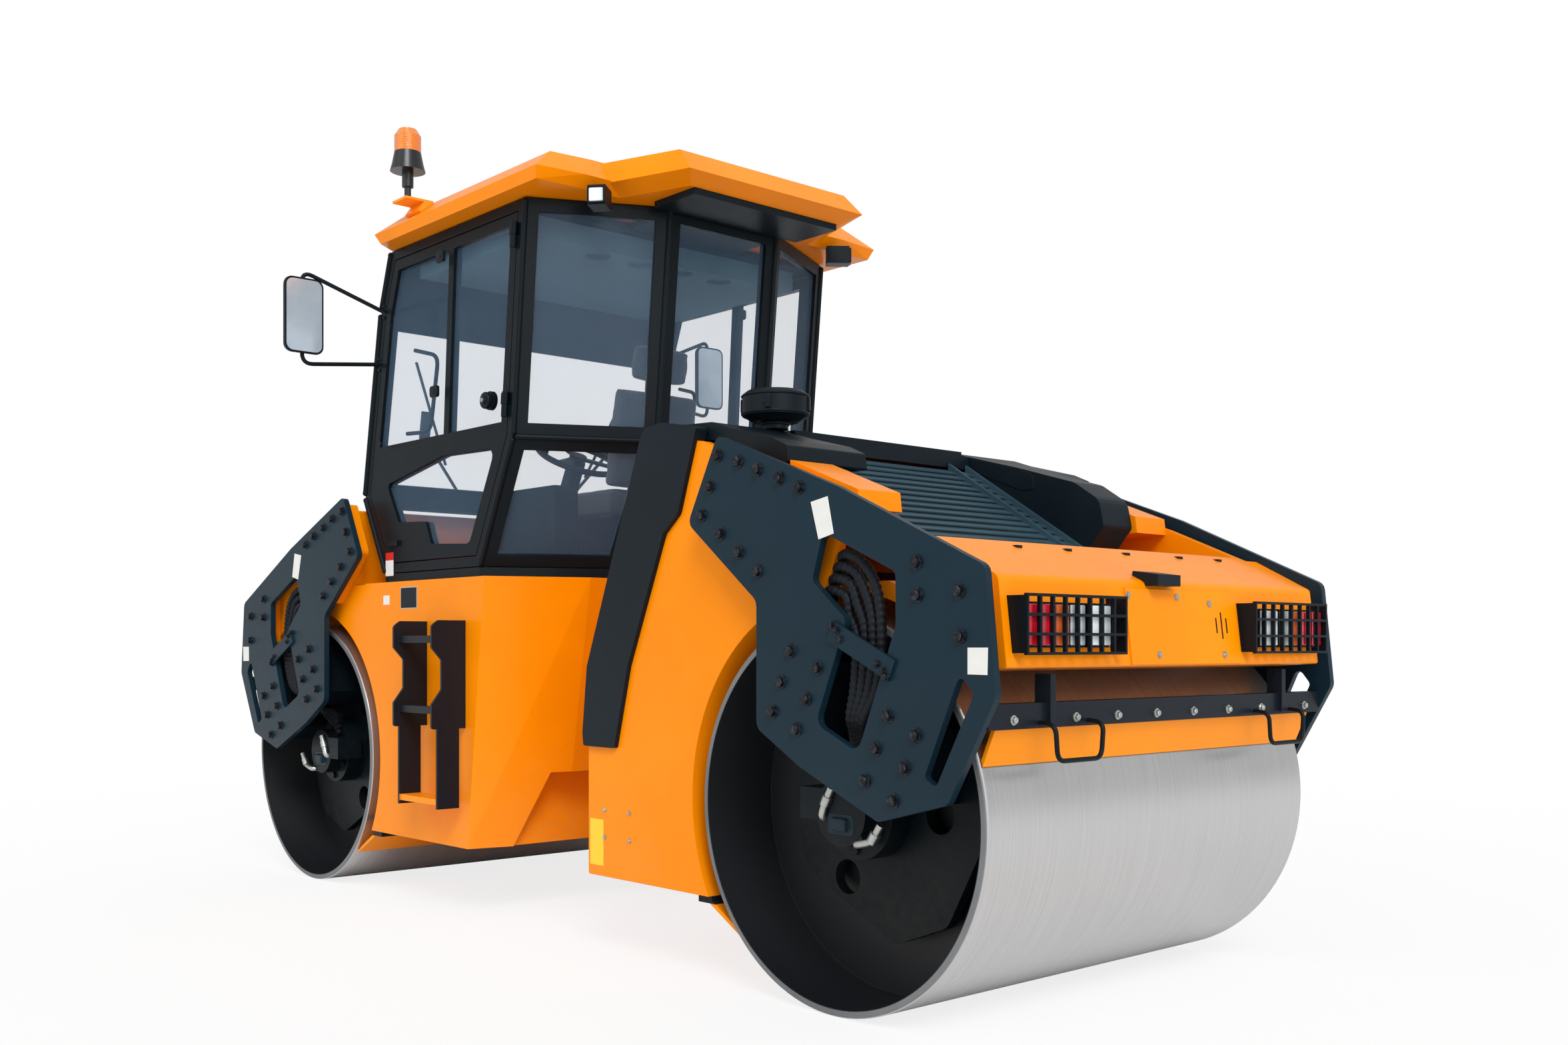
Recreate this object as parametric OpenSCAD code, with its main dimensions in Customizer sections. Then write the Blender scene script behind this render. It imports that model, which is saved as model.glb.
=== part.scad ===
// Double-drum articulated road roller, full size, in millimetres.
// X runs forward (cab end), Y to the machine's left, Z up, and the origin
// lies on the ground under the centre pivot, midway between the drums.

/* [Drums] */
// Outer diameter of each drum
drum_d = 1220; // [1180:10:1240]
// Width of each drum
drum_w = 1680; // [1640:10:1690]
// Thickness of the drum shell
drum_wall = 24; // [18:1:32]
// Distance between the two drum axles
wheelbase = 3580; // [3540:10:3640]

/* [Frames] */
// Overall width over the side plates
plate_span = 1816; // [1812:2:1840]
// Thickness of each side plate
plate_t = 25; // [20:1:30]
// Width over the orange body panels
body_w = 1670; // [1640:10:1680]
// Gap between drum shell and wheel arch
arch_gap = 65; // [45:5:80]
// Height of the body's lower edge above the ground
body_low = 285; // [260:5:320]
// Thickness of the body's side walls
wall_t = 35; // [25:5:45]

/* [Pivot] */
// Radius of the vertical pivot pin
pin_r = 45; // [38:1:52]
// Radius of the swing shaft in the front frame
shaft_r = 60; // [50:1:66]
// Height of the swing shaft above the ground
pivot_z = 500; // [480:5:520]
// Radial clearance of pins and shafts in their bores
fit = 0.05; // [0.02:0.01:0.1]

/* [Cab] */
// Width over the cab's side walls
cab_w = 1600; // [1560:10:1620]
// Height of the cab floor's top above the ground
cab_z = 1440; // [1430:5:1450]
// Height of the belt line of the rear windows
belt_z = 1948; // [1900:4:2000]
// Height of the roof's lower edge
roof_z = 2880; // [2840:10:2920]
// Thickness of cab walls and doors
cab_t = 40; // [30:2:50]
// Thickness of the window glass
glass_t = 6; // [5:1:8]

/* [Lamps] */
// Height of a lamp guard
guard_h = 167; // [140:1:180]
// Length of a lamp guard across the machine
guard_w = 457; // [430:1:500]

/* [Hidden] */

axle_z = drum_d / 2;
plate_out = plate_span / 2;
plate_in = plate_out - plate_t;
body_y = body_w / 2;
arch_r = drum_d / 2 + arch_gap;
gap = 0.5;
orange = [1, 0.62, 0.03];
plate_blue = [0.13, 0.17, 0.22];
black = [0.08, 0.08, 0.09];
steel = [0.72, 0.72, 0.74];

// Corners of the side plate: along from the axle toward mid-machine, height, radius
plate_corners = [[457, 1795, 25], [607, 1520, 30], [265, 1258, 40], [265, 862, 40], [69, 753, 20],
    [-262, 613, 30], [-527, 682, 30], [-695, 981, 40], [-659, 1333, 35], [-98, 1587, 20]];
// Corners of the hose window in the side plate: along, height, radius
window_corners = [[-35, 1456, 25], [12, 1313, 25], [-134, 1195, 25], [-4, 886, 30],
    [-182, 808, 35], [-332, 1173, 20], [-332, 1327, 25]];
// Corners of the tie-down slot: along, height, radius
slot_corners = [[-572, 1045, 18], [-441, 752, 12], [-485, 728, 14], [-620, 985, 18]];
// Corners of the plate that carries the drum's motor: along, height, radius
carrier_corners = [[370, 640, 60], [330, 400, 80], [-80, 200, 60], [-290, 280, 60], [-440, 560, 60],
    [-430, 900, 60], [-20, 1110, 50], [200, 1060, 50]];
// Corners of the rear body's side view: along, height, radius
rear_corners = [[1281, body_low, 10], [1281, 742, 10], [1265, 1043, 10], [931, 1848, 14],
    [620, 1800, 10], [-98, 1547, 10], [-400, 1420, 8], [-643, 1310, 30], [-674, 1057, 8],
    [-420, 1040, 8], [0, 1000, 4], [585, body_low, 10]];
// Corners of the front body's nose, side view: along, height, radius
nose_corners = [[430, 1395, 10], [430, 1745, 10], [-98, 1547, 10], [-400, 1420, 8],
    [-643, 1310, 30], [-674, 1057, 8], [-420, 1040, 8], [0, 1000, 4], [585, 700, 8], [800, 900, 4],
    [800, 1395, 4]];

// Corners of the engine bay's side view, open at the top: along, height
bay = [[720, 420], [1231, 420], [1231, 742], [1215, 1035], [845, 2000], [-370, 2000], [-370, 1240],
    [-200, 1310], [720, 1310]];

function unit(v) = v / norm(v);
function flat(c) = [c[0], c[1]];
// Points of an outline whose corners [x, y, radius] are rounded in n steps
function rounded(c, n = 3) = [for (i = [0:len(c) - 1])
    let (p = flat(c[i]), a = unit(flat(c[(i + len(c) - 1) % len(c)]) - p),
        b = unit(flat(c[(i + 1) % len(c)]) - p), half = acos(a * b) / 2, r = c[i][2],
        mid = p + unit(a + b) * r / sin(half), s = p + a * r / tan(half) - mid,
        e = p + b * r / tan(half) - mid, turn = atan2(cross(s, e), s * e), at = atan2(s[1], s[0]))
    for (k = [0:n]) mid + r * [cos(at + turn * k / n), sin(at + turn * k / n)]];
// Outline moved inward by d, for corners listed anticlockwise
function inset(c, d) = [for (i = [0:len(c) - 1])
    let (p = c[i], a = unit(p - c[(i + len(c) - 1) % len(c)]), b = unit(c[(i + 1) % len(c)] - p),
        na = [-a[1], a[0]], nb = [-b[1], b[0]])
    p + (na + nb) * d / (1 + na * nb)];

// Side view outline, drawn along X and Z, made solid from y0 to y1
module slab(points, y0, y1) {
    translate([0, y1, 0])
        rotate([90, 0, 0])
            linear_extrude(y1 - y0) polygon(points);
}
// A flat sheet whose corners are points in space, moved inward by in, from depth t0 to t1
module sheet(pts, in, t0, t1) {
    n = unit(cross(pts[1] - pts[0], pts[2] - pts[0]));
    ex = unit(cross([0, 0, 1], n));
    ez = cross(n, ex);
    level = [-ex[1], ex[0], 0];
    translate(pts[0])
        rotate([0, 0, atan2(ex[1], ex[0])])
            rotate([atan2(ez[2], ez * level), 0, 0])
                translate([0, 0, -t1])
                    linear_extrude(t1 - t0)
                        polygon(inset([for (p = pts) [(p - pts[0]) * ex, (p - pts[0]) * ez]], in));
}
module box(x, y, z) {
    translate([x[0], y[0], z[0]])
        cube([x[1] - x[0], y[1] - y[0], z[1] - z[0]]);
}
module linear_extrude_at(z, h) { translate([0, 0, z]) linear_extrude(h) children(); }
// A rod along Y, about the point [x, z]
module rod_y(x, z, r, y0, y1) {
    translate([x, y1, z])
        rotate([90, 0, 0])
            cylinder(r = r, h = y1 - y0, $fn = 64);
}
// A bar of w by d between two points
module strut(p, q, w, d) {
    v = q - p;
    translate(p)
        rotate([0, acos(v[2] / norm(v)), atan2(v[1], v[0])])
            translate([-w / 2, -d / 2, 0])
                cube([w, d, norm(v)]);
}
module rear_end() { translate([-wheelbase / 2, 0, 0]) children(); }
module front_end() { translate([wheelbase / 2, 0, 0]) mirror([1, 0, 0]) children(); }
module both_sides() {
    children();
    mirror([0, 1, 0]) children();
}

// Parts that both ends share, drawn from the axle with X toward mid-machine

// Side plates that hang over the drum's ends, with hose window and tie-down slot
module end_plates() {
    both_sides() difference() {
        slab(rounded(plate_corners), plate_in, plate_out);
        slab(rounded(window_corners), plate_in - 1, plate_out + 1);
        slab(rounded(slot_corners), plate_in - 1, plate_out + 1);
    }
}
// Spacer pads between body wall and side plate
pad_corners = [[440, 1770, 20], [560, 1540, 20], [300, 1310, 20], [60, 1440, 20], [40, 1600, 20]];
rear_pad_corners = [[-390, 1430, 15], [-390, 1130, 15], [-600, 1090, 15], [-620, 1310, 15]];
// Cover plate in the middle of the end panel: heights, and the two edges across
cover_z = [1062, 1290];
cover_y = [-335, 263];
cover_t = 5;
module end_cover() {
    slab([[face_u(cover_z[0]) - cover_t, cover_z[0]], [face_u(cover_z[0]) + 2, cover_z[0]],
        [face_u(cover_z[1]) + 2, cover_z[1]], [face_u(cover_z[1]) - cover_t, cover_z[1]]],
        cover_y[0], cover_y[1]);
}
module pads() {
    both_sides() {
        slab(rounded(pad_corners), body_y - 5, plate_in);
        slab(rounded(rear_pad_corners), body_y - 5, plate_in);
    }
}
// Clamp strap across the hose window
module hose_clamps() {
    both_sides() {
        translate([-200, plate_out, 1105])
            rotate([0, -25, 0])
                box([-138, 138], [0, 10], [-32, 32]);
    }
}
// Plates inside the drum that hold the motors, carried by two stubs from each side plate
module drum_carriers() {
    both_sides() difference() {
        union() {
            slab(rounded(carrier_corners), 600, 640);
            for (at = [[85, 985], [-315, 800]])
                translate([at[0], 0, at[1]])
                    rotate([0, -24, 0])
                        box([-80, 80], [640, plate_in], [-125, 125]);
            rod_y(0, axle_z, 150, 640, 730);
            rod_y(0, axle_z, 90, 470, 600);
            rod_y(0, axle_z, 105, 730, 800);
            for (a = [30:60:330])
                rod_y(120 * cos(a), axle_z + 120 * sin(a), 14, 730, 742);
            translate([60, 740, axle_z + 20])
                box([0, 120], [-60, 60], [-50, 50]);
        }
        for (a = [60:120:300])
            rod_y(260 * cos(a), axle_z + 260 * sin(a), 55, 590, 650);
    }
}
// Drum shell with its inner discs and hubs
module drum() {
    color(steel) translate([0, 0, axle_z]) rotate([90, 0, 0]) difference() {
        union() {
            rotate_extrude($fn = 180) {
                r = drum_d / 2;
                polygon([[r - drum_wall, -drum_w / 2], [r - 6, -drum_w / 2], [r, -drum_w / 2 + 6],
                    [r, drum_w / 2 - 6], [r - 6, drum_w / 2], [r - drum_wall, drum_w / 2]]);
            }
            for (s = [-1, 1]) {
                translate([0, 0, s * 550 - 10]) cylinder(r = drum_d / 2 - drum_wall + 1, h = 20, $fn = 180);
                translate([0, 0, s * 535 - 45]) cylinder(r = 150, h = 90, $fn = 90);
            }
        }
        for (s = [-1, 1])
            translate([0, 0, s * 535 - 70]) cylinder(r = 90 + fit, h = 140, $fn = 90);
    }
}
// Scrapers: an outer bar with blade above, and an inner one low down
module scrapers() {
    difference() {
        union() {
            box([-650, -640], [-plate_in, plate_in], [890, 960]);
            box([-650, -600], [-plate_in, plate_in], [950, 960]);
            translate([-644, 0, 915]) rotate([0, -23, 0]) box([0, 12], [-835, 835], [-146, 0]);
            both_sides() box([-665, -628], [610, 634], [900, 1040]);
            both_sides() box([-640, -610], [610, 634], [950, 1040]);
        }
        rod_y(0, axle_z, drum_d / 2 + 5, -900, 900);
    }
    difference() {
        union() {
            box([592, 660], [-820, 820], [body_low - 25, body_low - 0.3]);
            translate([604, 0, body_low - 23]) rotate([0, 61, 0]) box([-14, 0], [-820, 820], [-190, 8]);
        }
        rod_y(0, axle_z, drum_d / 2 + 5, -900, 900);
    }
}
// Place along X of the end panel's face at height z
function face_u(z) = -674 + (z - 1057) * 31 / 253;
// Lamps on each side of the end panel: place across, width
lamp_table = [[765, 62], [700, 62], [634, 62], [563, 70], [460, 105]];
lamp_u = -700;
module end_lamps() {
    low = guard_z + 20;
    high = guard_z + guard_h - 22;
    both_sides() for (l = lamp_table)
        slab([[lamp_u, low], [face_u(low) - 0.4, low], [face_u(high) - 0.4, high], [lamp_u, high]],
            l[0] - l[1] / 2, l[0] + l[1] / 2);
    slab([[-690, 1298], [-645.4, 1298], [-643.8, 1311], [-598, 1331.5], [-600, 1345], [-690, 1332]], 30, 150);
}
// Guards of square bars over the lamps
guard_z = 1093;
guard_y = 350;
guard_u = -722;
guard_t = 12;
cells = [8, 3];
bar = 8;
module lamp_guards() {
    pitch_y = (guard_w - bar) / cells[0];
    pitch_z = (guard_h - bar) / cells[1];
    top = guard_z + guard_h;
    both_sides() {
        difference() {
            box([guard_u, guard_u + guard_t], [guard_y, guard_y + guard_w], [guard_z, top]);
            for (i = [0:cells[0] - 1])
                for (k = [0:cells[1] - 1])
                    box([guard_u - 1, guard_u + guard_t + 1], [guard_y + bar + i * pitch_y, guard_y + (i + 1) * pitch_y],
                        [guard_z + bar + k * pitch_z, guard_z + (k + 1) * pitch_z]);
        }
        for (y = [guard_y, guard_y + guard_w - bar])
            slab([[guard_u + guard_t - 1, guard_z + 5], [face_u(guard_z + 5) - 0.4, guard_z + 5],
                [face_u(top - 5) - 0.4, top - 5], [guard_u + guard_t - 1, top - 5]], y, y + bar);
    }
}
// A hose that leaves the body inward of the window, drops past it and turns in to the motor
module hose(x, z0, z1, y, r, bend) {
    translate([x, y, z0]) cylinder(r = r, h = z1 - z0, $fn = 24);
    for (end = [[z0, 0], [z1, 180]])
        translate([x, y - bend, end[0]])
            rotate([0, end[1], 0]) {
                rotate([0, 0, 90])
                    rotate([-90, 0, 0])
                        rotate_extrude(angle = 90, $fn = 48)
                            translate([bend, 0]) circle(r = r, $fn = 24);
                translate([0, 0, -bend])
                    rotate([90, 0, 0])
                        cylinder(r = r, h = hose_tail, $fn = 24);
            }
}
hose_y = 865;
hose_r = 16;
hose_bend = 60;
hose_tail = 60;
hose_top = 1275;
module hoses() {
    both_sides() for (h = [[-150, 960], [-190, 1000], [-230, 1040]])
        hose(h[0], h[1], hose_top, hose_y, hose_r, hose_bend);
}

// Raised box on each side wall beside the hood: along, height
rail_box = [[220, 1600], [220, 1703], [-80, 1588], [-88, 1528], [100, 1522]];
// Rear frame: body walls round the engine bay, arches, pads, pivot lugs
module rear_frame() {
    color(orange) {
        rear_end() {
            difference() {
                slab(rounded(rear_corners), -body_y, body_y);
                rod_y(0, axle_z, arch_r, -1000, 1000);
                slab(bay, -body_y + wall_t, body_y - wall_t);
                slab(rounded(window_corners), -1000, -body_y + wall_t + 1);
                slab(rounded(window_corners), body_y - wall_t - 1, 1000);
            }
            pads();
            end_cover();
            both_sides() slab(rail_box, shoulder_out + 6, body_y - wall_t + 6);
        }
    }
    color(orange) difference() {
        union() {
            for (z = [pivot_z - 150, pivot_z + 110]) {
                linear_extrude_at(z, 40)
                    polygon([[-512, -150], [-512, 150], [-200, 100], [0, 100], [0, -100], [-200, -100]]);
                translate([0, 0, z]) cylinder(r = 100, h = 40, $fn = 90);
            }
            both_sides() for (z = [pivot_z - 70, pivot_z + 45])
                box([-512, -415], [125, 195], [z, z + 25]);
        }
        translate([0, 0, pivot_z - 200]) cylinder(r = pin_r + fit, h = 400, $fn = 90);
        both_sides() translate([-450, 160, pivot_z - 100]) cylinder(r = 20 + fit, h = 200, $fn = 48);
    }
}
// Dark cover along the front edge of the engine bay
strip_corners = [[1290, 753, 10], [1296, 800, 20], [1268, 1043, 40], [944, 1840, 40], [921, 1872, 20],
    [826, 1883, 10], [632, 1850, 10], [733, 1564, 30], [814, 1501, 30], [1018, 1046, 60], [1099, 753, 10]];
module rear_bulkhead_cover() {
    color(black) rear_end() difference() {
        slab(rounded(strip_corners), -body_y - 18, body_y + 18);
        slab(rounded(strip_corners), -body_y - 18 - 1, -body_y - 18);
        slab(rounded(rear_corners), -body_y - 0.3, body_y + 0.3);
        box([500, 925], [-body_y + wall_t - 2, body_y - wall_t + 2], [1700, 2000]);
        box([500, 1300], [-body_y - 0.3, body_y + 0.3], [600, 1800]);
    }
}
module engine() {
    color([0.3, 0.3, 0.32]) rear_end()
        slab([[745, 420.3], [1200, 420.3], [1200, 1000], [1035, 1400], [745, 1400]], -320, 320);
}
// Flange along each side of the hood, side view: along, height, radius
flange_corners = [[886, 1840, 10], [886, 1880, 12], [620, 1868, 40], [535, 1840, 40], [320, 1785, 30],
    [250, 1755, 12], [240, 1700, 8], [300, 1700, 8], [560, 1800, 10]];
// Long shoulder beside the louvres on the right, and the short nose on the left
shoulder_corners = [[880, 1848, 10], [880, 1876, 10], [620, 1865, 40], [320, 1787, 60], [60, 1711, 60],
    [-50, 1640, 60], [-70, 1545, 20], [10, 1450, 20], [560, 1806, 10]];
nose_block = [[700, 1848, 6], [700, 1869, 6], [610, 1862, 30], [522, 1826, 50], [400, 1772, 40],
    [318, 1712, 40], [300, 1650, 20], [350, 1590, 20], [560, 1796, 10]];
// Space under the hood's flanges: along, height
flange_hollow = [[868, 1700], [868, 1860], [622, 1848], [540, 1822], [326, 1766], [262, 1744], [262, 1400]];
hinge_u = 876;
hinge_z = 1857;
hinge_r = 17;
hood_y = body_y - wall_t - 6;
flange_in = 440;
shoulder_out = 615;
skin = 18;
// Louvred slope between the shoulders: its ends, height at the low end, and rise
louvre_run = [-190, 590];
louvre_z = 1322;
louvre_slope = 0.62;
slats = 20;
slat_pitch = (louvre_run[1] - louvre_run[0]) / slats;
slat_y = 415;
wide_y = 588;
rail_t = 12.5;
wide_to = 225;
function louvre_at(u) = louvre_z + (u - louvre_run[0]) * louvre_slope;
// A strip that follows the louvred slope from u0 to u1, between two heights above it
module on_slope(u0, u1, h0, h1, y0, y1) {
    slab([[u0, louvre_at(u0) + h0], [u1, louvre_at(u1) + h0], [u1, louvre_at(u1) + h1],
        [u0, louvre_at(u0) + h1]], y0, y1);
}
module hood() {
    color(black) rear_end() {
        both_sides() difference() {
            slab(rounded(flange_corners), flange_in, hood_y);
            slab(flange_hollow, flange_in + skin, hood_y - skin);
        }
        slab(rounded(shoulder_corners), -shoulder_out, -flange_in - 3);
        slab(rounded(nose_block), flange_in + 24, shoulder_out + 1);
        box([595, 886], [-flange_in - 1, flange_in + 1], [1842, 1872]);
        box([852, 886], [-hood_y, hood_y], [1842, 1872]);
        for (y = [-700, -100, 500])
            rod_y(hinge_u, hinge_z, hinge_r, y, y + 200);
        on_slope(louvre_run[0], 600, -4, 26, -flange_in - 6, -slat_y - rail_t - 0.5);
        on_slope(louvre_run[0], 600, -4, 26, wide_y + rail_t + 0.5, shoulder_out - 1);
        on_slope(wide_to + 30, 600, -4, 26, slat_y + rail_t + 0.5, flange_in + 5);
        box([560, 600], [-flange_in - 1, flange_in + 1], [1800, 1850]);
    }
}
// Louvre slats over a backing sheet, on the slope between the shoulders
module hood_louvres() {
    color([0.2, 0.21, 0.22]) rear_end() {
        for (i = [0:slats - 2])
            let (u = louvre_run[0] + i * slat_pitch, wide = u + slat_pitch < wide_to)
                translate([u, 0, louvre_at(u) + 10])
                    rotate([0, -20, 0])
                        box([0, slat_pitch + 4], [-slat_y, (wide ? wide_y : slat_y) + 3], [-2, 4]);
        on_slope(louvre_run[0], 555, -3, 4, -slat_y - 5, slat_y + 5);
        on_slope(louvre_run[0], wide_to, -3, 4, slat_y, wide_y + 5);
        for (y = [-slat_y - rail_t, -330, slat_y])
            on_slope(louvre_run[0], 555, -2, 30, y, y + rail_t);
        on_slope(louvre_run[0], wide_to, -2, 24, wide_y, wide_y + rail_t);
    }
}
module precleaner() {
    color(black) rear_end() translate([630, 500, 1871]) {
        cylinder(r = 45, h = 26, $fn = 48);
        translate([0, 0, 25]) cylinder(r1 = 80, r2 = 112, h = 20, $fn = 72);
        translate([0, 0, 45]) cylinder(r = 116, h = 75, $fn = 72);
        translate([0, 0, 120]) cylinder(r1 = 116, r2 = 100, h = 12, $fn = 72);
        for (a = [0:120:240])
            rotate([0, 0, a]) translate([114, 0, 82]) rotate([0, 90, 0]) cylinder(r = 7, h = 12, $fn = 24);
    }
}
// Centre joint: vertical pin in the rear frame's lugs, swing shaft toward the front frame
module pivot_yoke() {
    color(plate_blue) {
        box([-75, 75], [-75, 75], [pivot_z - 108, pivot_z + 108]);
        translate([0, 0, pivot_z - 165]) cylinder(r = pin_r, h = 330, $fn = 90);
        translate([70, 0, pivot_z]) rotate([0, 90, 0]) cylinder(r = shaft_r, h = 260, $fn = 90);
        both_sides() for (z = [pivot_z - 60, pivot_z + 36])
            box([-35, 35], [70, 195], [z, z + 24]);
    }
}
// Steering cylinders: barrel pinned to the rear frame, rod toward the yoke's arms
module steer_barrel_left() { color(plate_blue) steer_barrel(); }
module steer_barrel_right() { color(plate_blue) mirror([0, 1, 0]) steer_barrel(); }
module steer_barrel() {
    difference() {
        union() {
            translate([-450, 160, pivot_z - 40]) cylinder(r = 34, h = 80, $fn = 64);
            translate([-425, 160, pivot_z]) rotate([0, 90, 0]) cylinder(r = 40, h = 225, $fn = 64);
        }
        translate([-414, 160, pivot_z]) rotate([0, 90, 0]) cylinder(r = 22 + fit, h = 300, $fn = 64);
    }
    translate([-450, 160, pivot_z - 68]) cylinder(r = 20, h = 136, $fn = 48);
}
module steer_rod() {
    color(steel) {
        translate([-300, 160, pivot_z]) rotate([0, 90, 0]) cylinder(r = 22, h = 280, $fn = 64);
        translate([0, 160, pivot_z - 30]) cylinder(r = 32, h = 60, $fn = 64);
    }
}
module steer_rod_left() { steer_rod(); }
module steer_rod_right() { mirror([0, 1, 0]) steer_rod(); }

// Front frame: body below the cab with its chamfered rear corners, nose and swing bearing
module plan(z, side_x, rear_x) {
    translate([0, 0, z])
        linear_extrude(1)
            polygon([[1260, -body_y], [1260, body_y], [side_x, body_y], [rear_x, 430],
                [rear_x, -430], [side_x, -body_y]]);
}
// Opening under the body's rear face that the pivot reaches into: across, height
pivot_opening = [[-665, 200], [665, 200], [647, 284], [519, 590], [-519, 590], [-647, 284]];
// Depth of the recess that the hoses leave by
recess = 120;
module front_frame() {
    color(orange) difference() {
        union() {
            hull() {
                plan(body_low, 354, 250);
                plan(1399, 224, 60);
            }
            front_end() slab(rounded(nose_corners), -body_y, body_y);
        }
        front_end() {
            rod_y(0, axle_z, arch_r, -1000, 1000);
            slab(rounded(window_corners), -1000, -body_y + recess);
            slab(rounded(window_corners), body_y - recess, 1000);
        }
        box([385, 1080], [-body_y + wall_t, body_y - wall_t], [200, 1360]);
        cross_plate(pivot_opening, 0, 330);
        translate([0, 0, pivot_z]) rotate([0, 90, 0]) cylinder(r = shaft_r + fit, h = 345, $fn = 90);
    }
    color(orange) front_end() {
        pads();
        end_cover();
    }
    color(plate_blue) difference() {
        translate([115, 0, pivot_z]) rotate([0, 90, 0]) cylinder(r = 115, h = 216, $fn = 90);
        translate([100, 0, pivot_z]) rotate([0, 90, 0]) cylinder(r = shaft_r + fit, h = 240, $fn = 90);
    }
}
// Outline drawn along Y and Z, made solid from x to x + t
module cross_plate(points, x, t) {
    translate([x, 0, 0])
        rotate([90, 0, 90])
            linear_extrude(t) polygon(points);
}
// Boarding steps: notched side plates with two rungs, hanging straps and a tread
step_x = [370, 690];
step_corners = [[body_y, 780, 2], [990, 780, 10], [990, 880, 10], [945, 940, 10], [945, 1060, 10],
    [990, 1110, 10], [990, 1200, 20], [960, 1222, 10], [body_y, 1222, 2]];
module steps() {
    both_sides() {
        color(black) for (x = step_x) {
            cross_plate(rounded(step_corners), x, 12);
            box([x, x + 12], [865, 965], [455, 782]);
        }
        color(black) for (z = [855, 1145])
            box([step_x[0] + 10, step_x[1] + 2], [925, 965], [z - 15, z + 15]);
        color(orange) box([step_x[0] + 11, step_x[1] + 1], [870, 960], [470, 495]);
    }
}

cab_y = cab_w / 2;
// Corner points of the cab's left side: f along the front pillar, s along the rear pillar
f0 = [1130, cab_y, cab_z];
f1 = [1330, cab_y, 1800];
f2 = [1174, cab_y, 2620];
f3 = [1075, cab_y, roof_z];
s0 = [317, cab_y, cab_z];
s1 = [63, cab_y, belt_z];
s2 = s1 + (roof_z - belt_z) * [-90, 0, 932] / 932;
// Corner points of the narrow rear face
r0 = [54, 286, cab_z];
r1 = [-200, 286, belt_z];
r2 = r1 + (roof_z - belt_z) * [-90, 0, 932] / 932;
function other(p) = [p[0], -p[1], p[2]];
side_wall = [f0, s0, s1, s2, f3, f2, f1];
corner_wall = [s1, r1, r2, s2];
lower_corner_wall = [s0, r0, r1, s1];
rear_wall = [r1, other(r1), other(r2), r2];
lower_rear_wall = [r0, other(r0), other(r1), r1];
windscreen = [other(f1), f1, f2, other(f2)];
brow = [other(f2), f2, f3, other(f3)];
toe_wall = [other(f0), f0, f1, other(f1)];
frame_in = 55;
door_in = 45;
door_gap = 5;
lean = atan2(s2[0] - s1[0], s2[2] - s1[2]);
hinge_off = 16;
hinge_at = s1 + [door_in + door_gap / 2, hinge_off, 0];

module cab_floor() {
    color(black) translate([0, 0, cab_z - 40])
        linear_extrude(39.5)
            polygon([[f0[0], cab_y], [s0[0], cab_y], [r0[0], r0[1]], [r0[0], -r0[1]],
                [s0[0], -cab_y], [f0[0], -cab_y]]);
}
// Round post along a corner of the cab
post_r = 12;
post_in = 4;
post_end = 18;
module post(p, q) {
    v = q - p;
    translate(p)
        rotate([0, acos(v[2] / norm(v)), atan2(v[1], v[0])])
            translate([0, 0, post_end])
                cylinder(r = post_r, h = norm(v) - 2 * post_end, $fn = 48);
    for (e = [p + post_end * unit(v), q - post_end * unit(v)])
        translate(e) sphere(r = post_r + 1, $fn = 32);
}
// A wall with its window cut out
module pane_wall(pts, in) {
    difference() {
        sheet(pts, post_in, 0, cab_t);
        sheet(pts, in, -1, cab_t + 1);
    }
}
// The glass that fills such a window
module pane(pts, in) {
    sheet(pts, in + gap, 15, 15 + glass_t);
}
// Knuckle of a door hinge, h up the hinge line
module knuckle(h, len, r) {
    translate(hinge_at) rotate([0, lean, 0]) translate([0, 0, h]) cylinder(r = r, h = len, $fn = 48);
}
hinge_heights = [80, 745];
module cab_frame() {
    color(plate_blue) {
        both_sides() {
            pane_wall(side_wall, door_in);
            pane_wall(corner_wall, frame_in);
            pane_wall(lower_corner_wall, frame_in);
            for (h = hinge_heights) {
                knuckle(h, 50, 14);
                knuckle(h, 100, 7);
                translate(hinge_at) rotate([0, lean, 0])
                    box([-30, -3], [-hinge_off - 3, -hinge_off + 6], [h + 2, h + 48]);
            }
        }
        pane_wall(rear_wall, frame_in);
        sheet(lower_rear_wall, post_in, 0, cab_t);
        pane_wall(windscreen, 70);
        sheet(brow, post_in, 0, cab_t);
        pane_wall(toe_wall, 60);
        both_sides() for (line = [[f0, f1], [f1, f2], [f2, f3], [s0, s1], [s1, s2], [r0, r1], [r1, r2]])
            post(line[0], line[1]);
        for (line = [[f1, other(f1)], [f2, other(f2)], [r1, other(r1)]])
            post(line[0], line[1]);
        both_sides() post(s1, r1);
        box([s2[0] + 17, f3[0] - 19], [-cab_y + 21, cab_y - 21], [roof_z - 33, roof_z - 7]);
        box([r2[0] + 18, s2[0] + 31], [-r2[1] - 5, r2[1] + 5], [roof_z - 31, roof_z - 9]);
    }
}
module cab_glass() {
    color([0.7, 0.8, 0.85, 0.4]) {
        both_sides() {
            pane(corner_wall, frame_in);
            pane(lower_corner_wall, frame_in);
        }
        pane(rear_wall, frame_in);
        pane(windscreen, 70);
        pane(toe_wall, 60);
    }
}
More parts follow.
